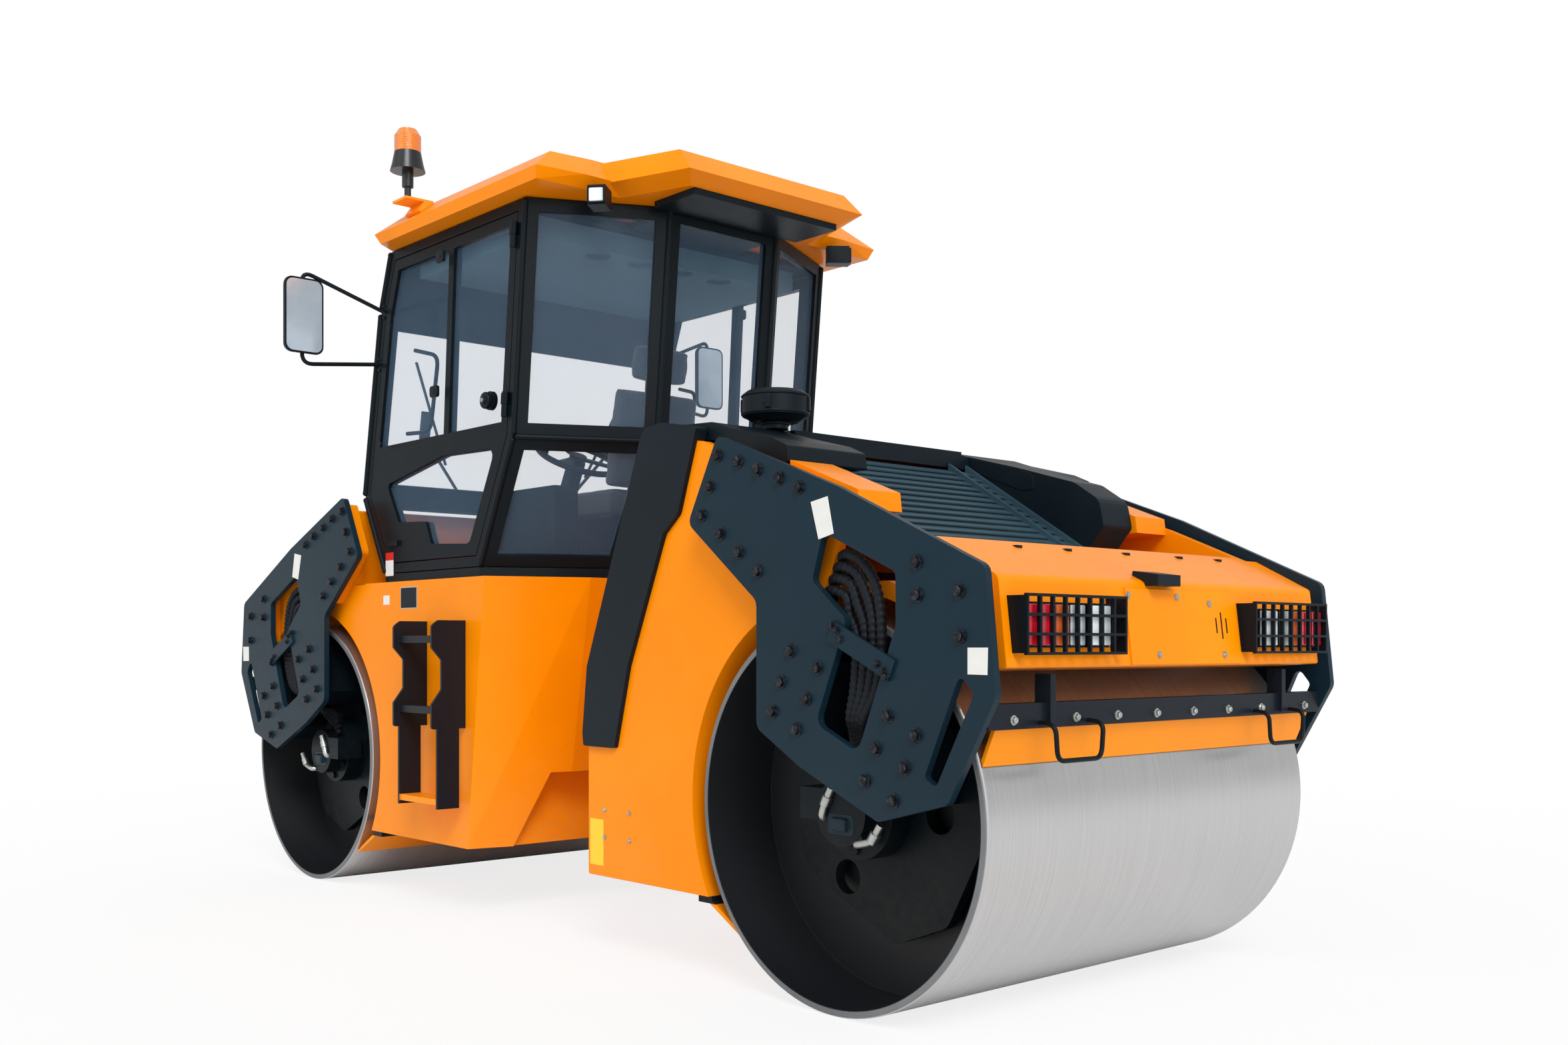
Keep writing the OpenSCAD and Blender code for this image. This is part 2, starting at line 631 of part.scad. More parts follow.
// Door: one leaf with a front quarter window, an upper and a lower window
door_bar = [[510, 3000], [550, 3000], [620, 1900], [580, 1900]];
lower_window = [[1120, 1840, 20], [1010, 1665, 20], [768, 1655, 20], [722, 1556, 20], [402, 1540, 40],
    [200, 1915, 30], [620, 1925, 150]];
module upper_windows(in) {
    difference() {
        sheet(side_wall, door_in + door_gap + in, -5, cab_t + 5);
        slab([[door_bar[0][0] - in + 45, 3000], [door_bar[1][0] + in - 45, 3000],
            [door_bar[2][0] + in - 45, 1900], [door_bar[3][0] - in + 45, 1900]], 700, 900);
        box([-500, 1500], [700, 900], [1000, 2015 + in - 45]);
    }
}
module door_leaf() {
    difference() {
        sheet(side_wall, door_in + door_gap, 0, cab_t);
        upper_windows(45);
        slab(rounded(lower_window), 700, 900);
    }
    for (h = hinge_heights) {
        difference() {
            union() {
                knuckle(h + 51, 49, 14);
                translate(hinge_at) rotate([0, lean, 0])
                    box([3, 50], [-hinge_off - 3, -hinge_off + 6], [h + 52, h + 98]);
            }
            knuckle(h + 50, 51, 7 + fit);
        }
    }
    rod_y(224, 2108, 38, cab_y - 5, cab_y + 12);
    box([1000, 1110], [cab_y - 5, cab_y + 14], [1560, 1585]);
}
module door_glass() {
    intersection() {
        upper_windows(45 + gap);
        box([-500, 1500], [cab_y - 15 - glass_t, cab_y - 15], [1000, 3000]);
    }
    slab(inset(rounded(lower_window), -gap), cab_y - 15 - glass_t, cab_y - 15);
}
module door_left() { color(plate_blue) door_leaf(); }
module door_right() { color(plate_blue) mirror([0, 1, 0]) door_leaf(); }
module door_left_glass() { color([0.7, 0.8, 0.85, 0.4]) door_glass(); }
module door_right_glass() { color([0.7, 0.8, 0.85, 0.4]) mirror([0, 1, 0]) door_glass(); }

module headliner() {
    color([0.3, 0.32, 0.35]) difference() {
        box([60, 1000], [-700, 700], [roof_z - 120, roof_z - 33.5]);
        for (y = [-330, -110, 110, 330])
            translate([150, y, roof_z - 130]) cylinder(r = 55, h = 25, $fn = 48);
    }
}
// Roof: main shell with a rear lobe, notched at the corners for the work lamps
module roof_plan(z, h, c) {
    translate([0, 0, z]) linear_extrude(h) polygon(c);
}
module roof() {
    color(orange) {
        hull() {
            roof_plan(roof_z + 1, 1, [[1150, 700], [1000, 890], [-240, 890], [-250, 700], [-250, -700],
                [-240, -890], [1000, -890], [1150, -700]]);
            roof_plan(roof_z + 45, 1, [[1190, 680], [1030, 905], [-265, 905], [-290, 700], [-290, -700],
                [-265, -905], [1030, -905], [1190, -680]]);
            roof_plan(roof_z + 145, 1, [[1060, 600], [960, 780], [-170, 780], [-190, 600], [-190, -600],
                [-170, -780], [960, -780], [1060, -600]]);
        }
        hull() {
            roof_plan(roof_z + 1, 1, [[-100, 560], [-560, 400], [-560, -400], [-100, -560]]);
            roof_plan(roof_z + 40, 1, [[-100, 640], [-632, 461], [-632, -461], [-100, -640]]);
            roof_plan(roof_z + 135, 1, [[-100, 600], [-544, 440], [-544, -440], [-100, -600]]);
        }
    }
}
module work_lamps() {
    color(black) {
        both_sides() {
            translate([-300, 640, roof_z - 30]) rotate([0, 0, 40]) {
                box([-35, 35], [-50, 50], [-45, 30.6]);
            }
            box([1106, 1150], [450, 550], [roof_z - 75, roof_z + 0.6]);
        }
        box([-560, -308], [-380, 380], [roof_z - 25, roof_z + 0.6]);
    }
}
// Beacon on a folding stem, on a bracket at the roof's left edge
module beacon() {
    translate([757, 890, 0]) {
        color(orange) translate([0, -890, 0])
            cross_plate([[800, 3011], [860, 2963], [872, 2970], [845, 3010], [930, 3010], [930, 3020],
                [800, 3020]], -60, 120);
        color(black) translate([0, 0, 3020]) cylinder(r = 14, h = 60, $fn = 32);
        color(black) translate([0, 0, 3075]) cylinder(r = 24, h = 70, $fn = 32);
        color(black) translate([0, 0, 3142]) cylinder(r1 = 74, r2 = 66, h = 30, $fn = 64);
        color(black) translate([0, 0, 3172]) cylinder(r1 = 66, r2 = 56, h = 50, $fn = 64);
        color([1, 0.45, 0]) translate([0, 0, 3222]) cylinder(r = 56, h = 70, $fn = 64);
        color([1, 0.45, 0]) translate([0, 0, 3292]) cylinder(r1 = 56, r2 = 38, h = 28, $fn = 64);
    }
}
// Feet of the mirror arms on the front pillar: along, height
mirror_feet = [[1190, 2390], [1142, 2620]];
module mirrors() {
    color(black) both_sides() {
        box([1205, 1240], [1060, 1240], [2400, 2730]);
        for (m = mirror_feet) {
            box([m[0] - 9, m[0] + 9], [cab_y + 0.2, cab_y + 14], [m[1] - 20, m[1] + 20]);
            strut([m[0], cab_y + 10, m[1]], [1215, 1100, m[1] + 60], 16, 16);
        }
    }
}
// Drawn on the windscreen, with X out of the glass and Z up its slope
module on_windscreen() {
    translate([f1[0], 0, f1[2]])
        rotate([0, atan2(f2[0] - f1[0], f2[2] - f1[2]), 0])
            children();
}
module wipers() {
    color(black) on_windscreen() both_sides() {
        translate([0.3, 300, 36]) rotate([0, 90, 0]) cylinder(r = 18, h = 26, $fn = 32);
        strut([19, 300, 36], [19, 520, 300], 10, 16);
        strut([10, 400, 180], [10, 600, 640], 8, 14);
        box([8, 24], [496, 544], [290, 420]);
    }
}
// Floor console with steering column, side pods and seat base
column_foot = [900, 0, 1780];
column_tilt = -28;
column_len = 230;
column_top = column_foot + column_len * [sin(column_tilt), 0, cos(column_tilt)];
module console() {
    color(black) {
        box([880, 1000], [-160, 160], [cab_z, 1820]);
        strut(column_foot, column_top, 60, 60);
        both_sides() box([300, 760], [330, 450], [cab_z, 1800]);
        box([240, 620], [-180, 180], [cab_z, seat_z - gap]);
    }
}
seat_z = 1690;
module steering_wheel() {
    color(black) translate(column_top) rotate([0, column_tilt, 0]) translate([0, 0, 15 + gap]) {
        rotate_extrude($fn = 72) translate([190, 0]) circle(r = 14, $fn = 24);
        cylinder(r = 40, h = 30, center = true, $fn = 48);
        for (a = [0, 120, 240])
            rotate([0, 0, a]) box([30, 185], [-14, 14], [-6, 6]);
        translate([0, 190, 0]) cylinder(r = 20, h = 60, $fn = 32);
    }
}
module seat() {
    color([0.15, 0.15, 0.16]) {
        box([200, 700], [-240, 240], [seat_z, seat_z + 110]);
        slab([[200, 1800], [320, 1800], [230, 2250], [110, 2250]], -230, 230);
        slab([[150, 2250], [225, 2250], [190, 2450], [115, 2450]], -150, 150);
    }
}
module rear_drum() { rear_end() drum(); }
module front_drum() { front_end() drum(); }
module rear_side_plates() { color(plate_blue) rear_end() end_plates(); }
module front_side_plates() { color(plate_blue) front_end() end_plates(); }
module rear_hose_clamps() { color(plate_blue) rear_end() hose_clamps(); }
module front_hose_clamps() { color(plate_blue) front_end() hose_clamps(); }
module rear_drum_carriers() { color(black) rear_end() drum_carriers(); }
module front_drum_carriers() { color(black) front_end() drum_carriers(); }
module rear_scrapers() { color(black) rear_end() scrapers(); }
module front_scrapers() { color(black) front_end() scrapers(); }
module rear_lamps() { color("red") rear_end() end_lamps(); }
module front_lamps() { color("white") front_end() end_lamps(); }
module rear_lamp_guards() { color(plate_blue) rear_end() lamp_guards(); }
module front_lamp_guards() { color(plate_blue) front_end() lamp_guards(); }
module rear_hoses() { color(black) rear_end() hoses(); }
module front_hoses() { color(black) front_end() hoses(); }

rear_frame();
rear_bulkhead_cover();
rear_side_plates();
rear_hose_clamps();
rear_drum_carriers();
rear_scrapers();
rear_lamps();
rear_lamp_guards();
rear_hoses();
engine();
hood();
hood_louvres();
precleaner();
rear_drum();
pivot_yoke();
steer_barrel_left();
steer_barrel_right();
steer_rod_left();
steer_rod_right();
front_frame();
front_side_plates();
front_hose_clamps();
front_drum_carriers();
front_scrapers();
front_lamps();
front_lamp_guards();
front_hoses();
front_drum();
steps();
cab_floor();
cab_frame();
cab_glass();
headliner();
roof();
work_lamps();
beacon();
mirrors();
wipers();
console();
steering_wheel();
seat();
door_left();
door_left_glass();
door_right();
door_right_glass();
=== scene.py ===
import math
import bpy
import bmesh
from mathutils import Vector, Matrix


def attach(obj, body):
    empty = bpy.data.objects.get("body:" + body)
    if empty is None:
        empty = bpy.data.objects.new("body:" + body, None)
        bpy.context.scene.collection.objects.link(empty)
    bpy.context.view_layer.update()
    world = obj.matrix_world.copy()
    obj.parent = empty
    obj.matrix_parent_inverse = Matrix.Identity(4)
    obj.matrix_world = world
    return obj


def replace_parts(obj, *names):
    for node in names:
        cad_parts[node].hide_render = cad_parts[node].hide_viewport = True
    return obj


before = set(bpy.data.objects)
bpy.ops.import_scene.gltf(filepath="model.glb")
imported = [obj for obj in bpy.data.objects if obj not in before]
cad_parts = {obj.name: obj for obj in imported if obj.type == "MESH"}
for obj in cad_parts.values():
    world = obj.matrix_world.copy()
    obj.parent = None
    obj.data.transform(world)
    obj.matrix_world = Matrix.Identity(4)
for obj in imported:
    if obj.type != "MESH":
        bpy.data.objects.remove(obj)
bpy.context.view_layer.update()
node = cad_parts


# The view. The photograph was taken from behind and to the left of the
# roller, at chest height, with the camera held level.
eye = bpy.data.cameras.new("eye")
eye.lens = 34.16
eye.sensor_width = 36
eye.shift_x = 0.0036
eye.shift_y = 0.0786
eye.clip_start = 0.05
eye.clip_end = 200
camera = bpy.data.objects.new("eye", eye)
camera.location = (-5.023, 3.965, 1.118)
camera.rotation_euler = (math.radians(90), 0, math.radians(-132))
bpy.context.scene.collection.objects.link(camera)
bpy.context.scene.camera = camera
bpy.context.scene.view_settings.view_transform = "Standard"


# The studio. A pale floor that runs out of sight, an even white sky and one
# broad soft lamp behind the camera's left shoulder, as in a product picture.
class Wire:
    """One shader value. Python's own signs on it add Math nodes."""

    def __init__(self, finish, socket):
        self.finish, self.socket = finish, socket

    def _math(self, operation, *values):
        return self.finish.node("Math", {"operation": operation}, dict(enumerate(values)))

    def __add__(self, other): return self._math("ADD", self, other)
    def __radd__(self, other): return self._math("ADD", other, self)
    def __sub__(self, other): return self._math("SUBTRACT", self, other)
    def __rsub__(self, other): return self._math("SUBTRACT", other, self)
    def __mul__(self, other): return self._math("MULTIPLY", self, other)
    def __rmul__(self, other): return self._math("MULTIPLY", other, self)
    def __truediv__(self, other): return self._math("DIVIDE", self, other)
    def __rtruediv__(self, other): return self._math("DIVIDE", other, self)
    def __pow__(self, other): return self._math("POWER", self, other)
    def __gt__(self, other): return self._math("GREATER_THAN", self, other)
    def __lt__(self, other): return self._math("LESS_THAN", self, other)
    def __abs__(self): return self._math("ABSOLUTE", self)


def hue(code):
    """A colour written as on a screen, as the linear numbers that a shader takes."""
    parts = [int(code[i:i + 2], 16) / 255 for i in (1, 3, 5)]
    return tuple(c / 12.92 if c <= 0.04045 else ((c + 0.055) / 1.055) ** 2.4 for c in parts) + (1.0,)


class Finish:
    """A material under construction, with one Principled shader."""

    def __init__(self, name, metallic=0.0, **fixed):
        self.material = bpy.data.materials.new(name)
        self.material.use_nodes = True
        self.tree = self.material.node_tree
        self.tree.nodes.clear()
        self.out = self.tree.nodes.new("ShaderNodeOutputMaterial")
        self.shader = self.tree.nodes.new("ShaderNodeBsdfPrincipled")
        self.tree.links.new(self.shader.outputs[0], self.out.inputs[0])
        self.shader.inputs["Metallic"].default_value = metallic
        for key, value in fixed.items():
            self.shader.inputs[key.replace("_", " ")].default_value = value

    def node(self, kind, settings=(), inputs=(), out=0):
        made = self.tree.nodes.new("ShaderNode" + kind)
        for key, value in dict(settings).items():
            if key == "stops":
                ramp = made.color_ramp
                while len(ramp.elements) < len(value):
                    ramp.elements.new(0.5)
                for element, (place, colour) in zip(ramp.elements, value):
                    element.position, element.color = place, colour
            else:
                setattr(made, key, value)
        for key, value in dict(inputs).items():
            self.put(made.inputs[key], value)
        return Wire(self, made.outputs[out])

    def put(self, socket, value):
        if isinstance(value, Wire):
            self.tree.links.new(value.socket, socket)
        else:
            socket.default_value = value

    def place(self):
        return self.node("TexCoord", out="Object")

    def axes(self, at):
        made = self.tree.nodes.new("ShaderNodeSeparateXYZ")
        self.put(made.inputs[0], at)
        return [Wire(self, made.outputs[i]) for i in range(3)]

    def noise(self, at, scale, detail=3.0, roughness=0.55, stretch=None):
        if stretch:
            at = self.node("Mapping", {}, {"Vector": at, "Scale": stretch})
        return self.node("TexNoise", {}, {"Vector": at, "Scale": scale, "Detail": detail,
                                          "Roughness": roughness})

    def band(self, value, low, high):
        """0 below low and 1 above high, smooth between."""
        return self.node("MapRange", {"interpolation_type": "SMOOTHSTEP"},
                         {"Value": value, "From Min": low, "From Max": high})

    def mix(self, factor, a, b):
        return self.node("Mix", {"data_type": "RGBA"}, {0: factor, 6: a, 7: b}, out=2)

    def bump(self, height, distance, normal=None, strength=1.0):
        inputs = {"Height": height, "Distance": distance, "Strength": strength}
        if normal is not None:
            inputs["Normal"] = normal
        return self.node("Bump", {}, inputs)

    def rounded(self, radius):
        return self.node("Bevel", {"samples": 4}, {"Radius": radius})

    def done(self, **sockets):
        for key, value in sockets.items():
            self.put(self.shader.inputs[key.replace("_", " ")], value)
        return self.material


def new_object(name, mesh, material=None):
    made = bpy.data.objects.new(name, mesh)
    bpy.context.scene.collection.objects.link(made)
    if material:
        mesh.materials.clear()
        mesh.materials.append(material)
    return made


def make_studio():
    world = bpy.data.worlds.new("studio")
    bpy.context.scene.world = world
    world.use_nodes = True
    tree = world.node_tree
    tree.nodes.clear()
    out = tree.nodes.new("ShaderNodeOutputWorld")
    path = tree.nodes.new("ShaderNodeLightPath")
    lit = tree.nodes.new("ShaderNodeBackground")
    seen = tree.nodes.new("ShaderNodeBackground")
    lit.inputs[0].default_value = (1, 1, 1, 1)
    lit.inputs[1].default_value = 0.62
    seen.inputs[0].default_value = (1, 1, 1, 1)
    seen.inputs[1].default_value = 1.0
    first = tree.nodes.new("ShaderNodeMath")
    first.operation = "MAXIMUM"
    tree.links.new(path.outputs["Is Camera Ray"], first.inputs[0])
    tree.links.new(path.outputs["Is Transmission Ray"], first.inputs[1])
    mixed = tree.nodes.new("ShaderNodeMixShader")
    tree.links.new(first.outputs[0], mixed.inputs[0])
    tree.links.new(lit.outputs[0], mixed.inputs[1])
    tree.links.new(seen.outputs[0], mixed.inputs[2])
    tree.links.new(mixed.outputs[0], out.inputs[0])

    mesh = bpy.data.meshes.new("studio_floor")
    shape = bmesh.new()
    bmesh.ops.create_circle(shape, cap_ends=True, radius=80, segments=64)
    shape.to_mesh(mesh)
    shape.free()
    finish = Finish("studio_floor", Roughness=0.9)
    bright = finish.tree.nodes.new("ShaderNodeEmission")
    bright.inputs[0].default_value = (1, 1, 1, 1)
    blend = finish.tree.nodes.new("ShaderNodeMixShader")
    ray = finish.node("LightPath", out="Is Camera Ray")
    x, y, _ = finish.axes(finish.place())
    away = finish.band((x * x + y * y) ** 0.5, 3.0, 9.0)
    finish.put(blend.inputs[0], ray * (0.8 + away * 0.2))
    finish.tree.links.new(finish.shader.outputs[0], blend.inputs[1])
    finish.tree.links.new(bright.outputs[0], blend.inputs[2])
    finish.tree.links.new(blend.outputs[0], finish.out.inputs[0])
    finish.done(Base_Color=(0.9, 0.9, 0.9, 1))
    floor = new_object("studio_floor", mesh, finish.material)
    floor.location.z = -0.001

    for name, toward, strength, angle in (("key", (-0.62, 0.42, 0.66), 1.75, 24),
                                          ("fill", (0.1, 0.9, 0.35), 0.4, 50),
                                          ("low", (-0.95, 0.2, 0.1), 0.7, 40)):
        lamp = bpy.data.lights.new(name, "SUN")
        lamp.energy = strength
        lamp.angle = math.radians(angle)
        holder = bpy.data.objects.new(name, lamp)
        holder.rotation_euler = Vector(toward).to_track_quat("Z", "Y").to_euler()
        bpy.context.scene.collection.objects.link(holder)


make_studio()


# The orange bodywork: welded steel boxes under two coats of gloss enamel,
# with a faint orange-peel surface and a little dust low down.
def enamel(name, colour, roughness=0.3, peel=0.0002, edge=0.004, dust=0.12, low=0.9, coat=0.05, gloss=0.12):
    f = Finish(name, Coat_Roughness=0.08, Specular_IOR_Level=gloss)
    at = f.place()
    height = f.axes(at)[2]
    cloud = f.noise(at, 1.7, 4)
    fine = f.noise(at, 28, 4, 0.65)
    grain = f.noise(at, 420, 2)
    settled = (1 - f.band(height, 0.25, low)) * f.band(cloud * 0.6 + fine * 0.4, 0.42, 0.62) * dust
    shade = tuple(c * 0.9 for c in hue(colour)[:3]) + (1,)
    base = f.mix(f.band(cloud, 0.35, 0.7), shade, hue(colour))
    base = f.mix(settled, base, hue("#a08c6c"))
    rough = roughness + (fine - 0.5) * 0.14 + settled * 0.45
    normal = f.bump(grain * 0.4 + fine, peel, f.rounded(edge))
    return f.done(Base_Color=base, Roughness=rough, Normal=normal, Coat_Weight=coat - settled)


orange = enamel("orange_enamel", "#ff9000")


def dress(names, material):
    for name in names:
        slots = node[name].data.materials
        if not slots:
            slots.append(material)
        for i in range(len(slots)):
            slots[i] = material


dress(["rear_frame", "front_frame", "roof"], orange)


# The side plates: 25 mm flame-cut plate in satin blue-black enamel, held to
# the frames and the motor carriers by rows of large hexagon-headed bolts.
slate = enamel("slate_enamel", "#132a36", roughness=0.36, peel=0.0004, edge=0.003, dust=0.04, coat=0.04, gloss=0.14)
night = enamel("night_enamel", "#0b151b", roughness=0.4, peel=0.0004, edge=0.003, dust=0.03, coat=0.03, gloss=0.12)
dress(["rear_side_plates", "front_side_plates", "rear_hose_clamps", "front_hose_clamps"], slate)


def bolt_black():
    f = Finish("bolt_black_oxide", metallic=0.6)
    at = f.place()
    spots = f.noise(at, 90, 3)
    base = f.mix(f.band(spots, 0.4, 0.75), hue("#11151b"), hue("#3a4048"))
    return f.done(Base_Color=base, Roughness=0.3 + spots * 0.25, Normal=f.rounded(0.0015))


def zinc():
    f = Finish("zinc_plate", metallic=1.0)
    at = f.place()
    spots = f.noise(at, 60, 3)
    base = f.mix(spots, hue("#9aa0a4"), hue("#d4d4cc"))
    return f.done(Base_Color=base, Roughness=0.28 + spots * 0.2, Normal=f.rounded(0.0012))


black_bolt, zinc_bolt = bolt_black(), zinc()


def socket_of(tree, name, kind, default=None):
    made = tree.interface.new_socket(name, in_out="INPUT", socket_type="NodeSocket" + kind)
    if default is not None:
        made.default_value = default
    return made.identifier


def bolt_tree():
    """Hexagon heads on washers, one at each point, facing along the attribute 'facing'."""
    tree = bpy.data.node_groups.new("hexagon_bolts", "GeometryNodeTree")
    ids = {"Points": socket_of(tree, "Points", "Geometry"),
           "Head": socket_of(tree, "Head", "Float", 0.017),
           "Height": socket_of(tree, "Height", "Float", 0.014),
           "Washer": socket_of(tree, "Washer", "Float", 0.022),
           "Finish": socket_of(tree, "Finish", "Material")}
    tree.interface.new_socket("Bolts", in_out="OUTPUT", socket_type="NodeSocketGeometry")
    new, link = tree.nodes.new, tree.links.new
    given, result = new("NodeGroupInput"), new("NodeGroupOutput")
    head, cap, washer = new("GeometryNodeMeshCylinder"), new("GeometryNodeMeshCone"), new("GeometryNodeMeshCylinder")
    head.inputs["Vertices"].default_value = 6
    cap.inputs["Vertices"].default_value = 6
    washer.inputs["Vertices"].default_value = 20
    washer.inputs["Depth"].default_value = 0.006
    link(given.outputs["Head"], head.inputs["Radius"])
    link(given.outputs["Head"], cap.inputs["Radius Bottom"])
    link(given.outputs["Height"], head.inputs["Depth"])
    link(given.outputs["Washer"], washer.inputs["Radius"])

    def scaled(socket, factor, plus=0.0):
        made = new("ShaderNodeMath")
        made.operation = "MULTIPLY_ADD"
        link(socket, made.inputs[0])
        made.inputs[1].default_value, made.inputs[2].default_value = factor, plus
        return made.outputs[0]

    def raised(mesh, height):
        at, moved = new("ShaderNodeCombineXYZ"), new("GeometryNodeTransform")
        link(height, at.inputs[2])
        link(mesh, moved.inputs["Geometry"])
        link(at.outputs[0], moved.inputs["Translation"])
        return moved.outputs[0]

    link(scaled(given.outputs["Head"], 0.78), cap.inputs["Radius Top"])
    link(scaled(given.outputs["Height"], 0.2), cap.inputs["Depth"])
    joined = new("GeometryNodeJoinGeometry")
    link(raised(head.outputs[0], scaled(given.outputs["Height"], 0.5, 0.002)), joined.inputs[0])
    link(raised(cap.outputs[0], scaled(given.outputs["Height"], 1.0, 0.0019)), joined.inputs[0])
    link(washer.outputs[0], joined.inputs[0])
    facing, turned = new("GeometryNodeInputNamedAttribute"), new("FunctionNodeAlignRotationToVector")
    facing.data_type = "FLOAT_VECTOR"
    facing.inputs[0].default_value = "facing"
    turned.axis = "Z"
    link(facing.outputs[0], turned.inputs["Vector"])
    spread = new("GeometryNodeInstanceOnPoints")
    link(given.outputs["Points"], spread.inputs["Points"])
    link(joined.outputs[0], spread.inputs["Instance"])
    link(turned.outputs[0], spread.inputs["Rotation"])
    chance, spun = new("FunctionNodeRandomValue"), new("GeometryNodeRotateInstances")
    chance.data_type = "FLOAT_VECTOR"
    chance.inputs[0].default_value = (0, 0, 0)
    chance.inputs[1].default_value = (0, 0, 1.05)
    chance.inputs["Seed"].default_value = 7
    link(spread.outputs[0], spun.inputs["Instances"])
    link(chance.outputs[0], spun.inputs["Rotation"])
    real, painted = new("GeometryNodeRealizeInstances"), new("GeometryNodeSetMaterial")
    link(spun.outputs[0], real.inputs[0])
    link(real.outputs[0], painted.inputs[0])
    link(given.outputs["Finish"], painted.inputs["Material"])
    link(painted.outputs[0], result.inputs[0])
    return tree, ids


def grown(name, source, tree, ids, values, body):
    """Runs a Geometry Nodes tree on a source mesh and keeps the result as a plain mesh on a body."""
    holder = new_object(name + "_source", source)
    modifier = holder.modifiers.new("grow", "NODES")
    modifier.node_group = tree
    for key, value in values.items():
        modifier[ids[key]] = value
    bpy.context.view_layer.update()
    mesh = bpy.data.meshes.new_from_object(holder.evaluated_get(bpy.context.evaluated_depsgraph_get()))
    mesh.name = name
    bpy.data.objects.remove(holder)
    made = new_object(name, mesh)
    if body:
        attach(made, body)
    return made


bolts_tree, bolts_ids = bolt_tree()


def bolts(name, places, body, finish=None, head=0.017, height=0.014, washer=0.022):
    """places is a list of (point, direction that the bolt faces)."""
    mesh = bpy.data.meshes.new(name)
    mesh.from_pydata([p for p, _ in places], [], [])
    facing = mesh.attributes.new("facing", "FLOAT_VECTOR", "POINT")
    facing.data.foreach_set("vector", [c for _, d in places for c in d])
    return grown(name, mesh, bolts_tree, bolts_ids,
                 {"Head": head, "Height": height, "Washer": washer, "Finish": finish or black_bolt}, body)


plate_y = 0.908
axle_x = 1.79
plate_bolts = [(0.451, 1.729), (0.349, 1.701), (0.256, 1.667), (0.156, 1.632), (0.066, 1.597),
               (0.491, 1.633), (0.532, 1.542), (0.437, 1.477), (0.345, 1.413), (0.256, 1.35),
               (0.104, 1.102), (-0.014, 1.052), (0.147, 1.007), (0.034, 0.958), (0.186, 0.915),
               (0.077, 0.865), (-0.415, 1.35), (-0.418, 1.259), (-0.57, 1.266), (-0.574, 1.144),
               (-0.303, 0.919), (-0.412, 0.868), (-0.256, 0.823), (-0.37, 0.776), (-0.214, 0.729),
               (-0.326, 0.679)]
clamp_bolts = [(-0.107, 1.164), (-0.085, 1.18), (-0.12, 1.137), (-0.294, 1.047), (-0.27, 1.066), (-0.305, 1.03)]
ends = {"rear": lambda u: u - axle_x, "front": lambda u: axle_x - u}
for end, along in ends.items():
    bolts(end + "_plate_bolts",
          [((along(u), s * plate_y, z), (0, s, 0)) for u, z in plate_bolts for s in (1, -1)], end + "_frame")
    bolts(end + "_clamp_bolts",
          [((along(u), s * (plate_y + 0.01), z), (0, s, 0)) for u, z in clamp_bolts for s in (1, -1)],
          end + "_frame", head=0.009, height=0.008, washer=0.012)


# The drums: rolled steel shells, turned bright on the outside, with a worn edge. The discs, hubs and inside of the
# shell are coloured near black: dark paint, deepened into painted shade for the shadow inside the drum.
def drum_steel(name, centre_x):
    f = Finish(name, Anisotropic=0.4)
    at = f.node("Mapping", {}, {"Vector": f.place(), "Location": (-centre_x, 0, -0.61)})
    x, y, z = f.axes(at)
    radius = (x * x + z * z) ** 0.5
    outside = f.band(radius, 0.6055, 0.6085)
    rim = f.band(radius, 0.5875, 0.589)
    turned = f.noise(at, 3, 6, 0.7, stretch=(0.6, 60, 0.6))
    lines = f.noise(at, 5, 3, 0.6, stretch=(0.5, 240, 0.5))
    cloud = f.noise(at, 4, 4)
    bright = f.mix(turned * 0.6 + lines * 0.4, hue("#a2a2a3"), hue("#e2e2e2"))
    # Painted shade: below the shell's inner radius everything is coloured near black, darker than its paint, to stand
    # for the shadow inside the drum.
    inner = f.mix(cloud, hue("#070b0f"), hue("#0d1319"))
    edge = f.mix(cloud, hue("#55585c"), hue("#8c8e90"))
    base = f.mix(outside, f.mix(rim, inner, edge), bright)
    metal = rim * 0.4 + outside * 0.5
    rough = 0.5 - outside * 0.2 + (turned - 0.5) * 0.2
    normal = f.bump(turned * 0.5 + lines, 0.00012, f.rounded(0.003))
    return f.done(Base_Color=base, Metallic=metal, Roughness=rough, Normal=normal)


dress(["rear_drum"], drum_steel("rear_drum_steel", -axle_x))
dress(["front_drum"], drum_steel("front_drum_steel", axle_x))
dress(["rear_drum_carriers", "front_drum_carriers"], night)


# The hood: moulded black shoulders and ridge over the engine, with a slope of
# pressed louvres between them and the air cleaner's cap on the left shoulder.
def plastic(name, colour, roughness=0.45, grain_size=900, grain_depth=0.00015, edge=0.003):
    f = Finish(name, Specular_IOR_Level=0.15)
    at = f.place()
    cloud = f.noise(at, 2.4, 4)
    grain = f.noise(at, grain_size, 2, 0.6)
    base = f.mix(f.band(cloud, 0.35, 0.75), hue(colour), tuple(c * 1.3 for c in hue(colour)[:3]) + (1,))
    return f.done(Base_Color=base, Roughness=roughness + (cloud - 0.5) * 0.15,
                  Normal=f.bump(grain, grain_depth, f.rounded(edge)))


moulded = plastic("moulded_black", "#0c171e", 0.4)
louvre_grey = plastic("louvre_grey", "#304752", 0.42)
rubber = plastic("rubber_black", "#0f1216", 0.62, 500, 0.0003, 0.002)
dress(["hood", "rear_bulkhead_cover", "precleaner"], moulded)
dress(["hood_louvres"], louvre_grey)


def cast_iron():
    f = Finish("cast_iron_grey")
    at = f.place()
    cloud = f.noise(at, 6, 5)
    return f.done(Base_Color=f.mix(cloud, hue("#2a2d30"), hue("#4a4d50")), Roughness=0.6 + cloud * 0.2,
                  Normal=f.bump(cloud, 0.002, f.rounded(0.004)))


dress(["engine"], cast_iron())


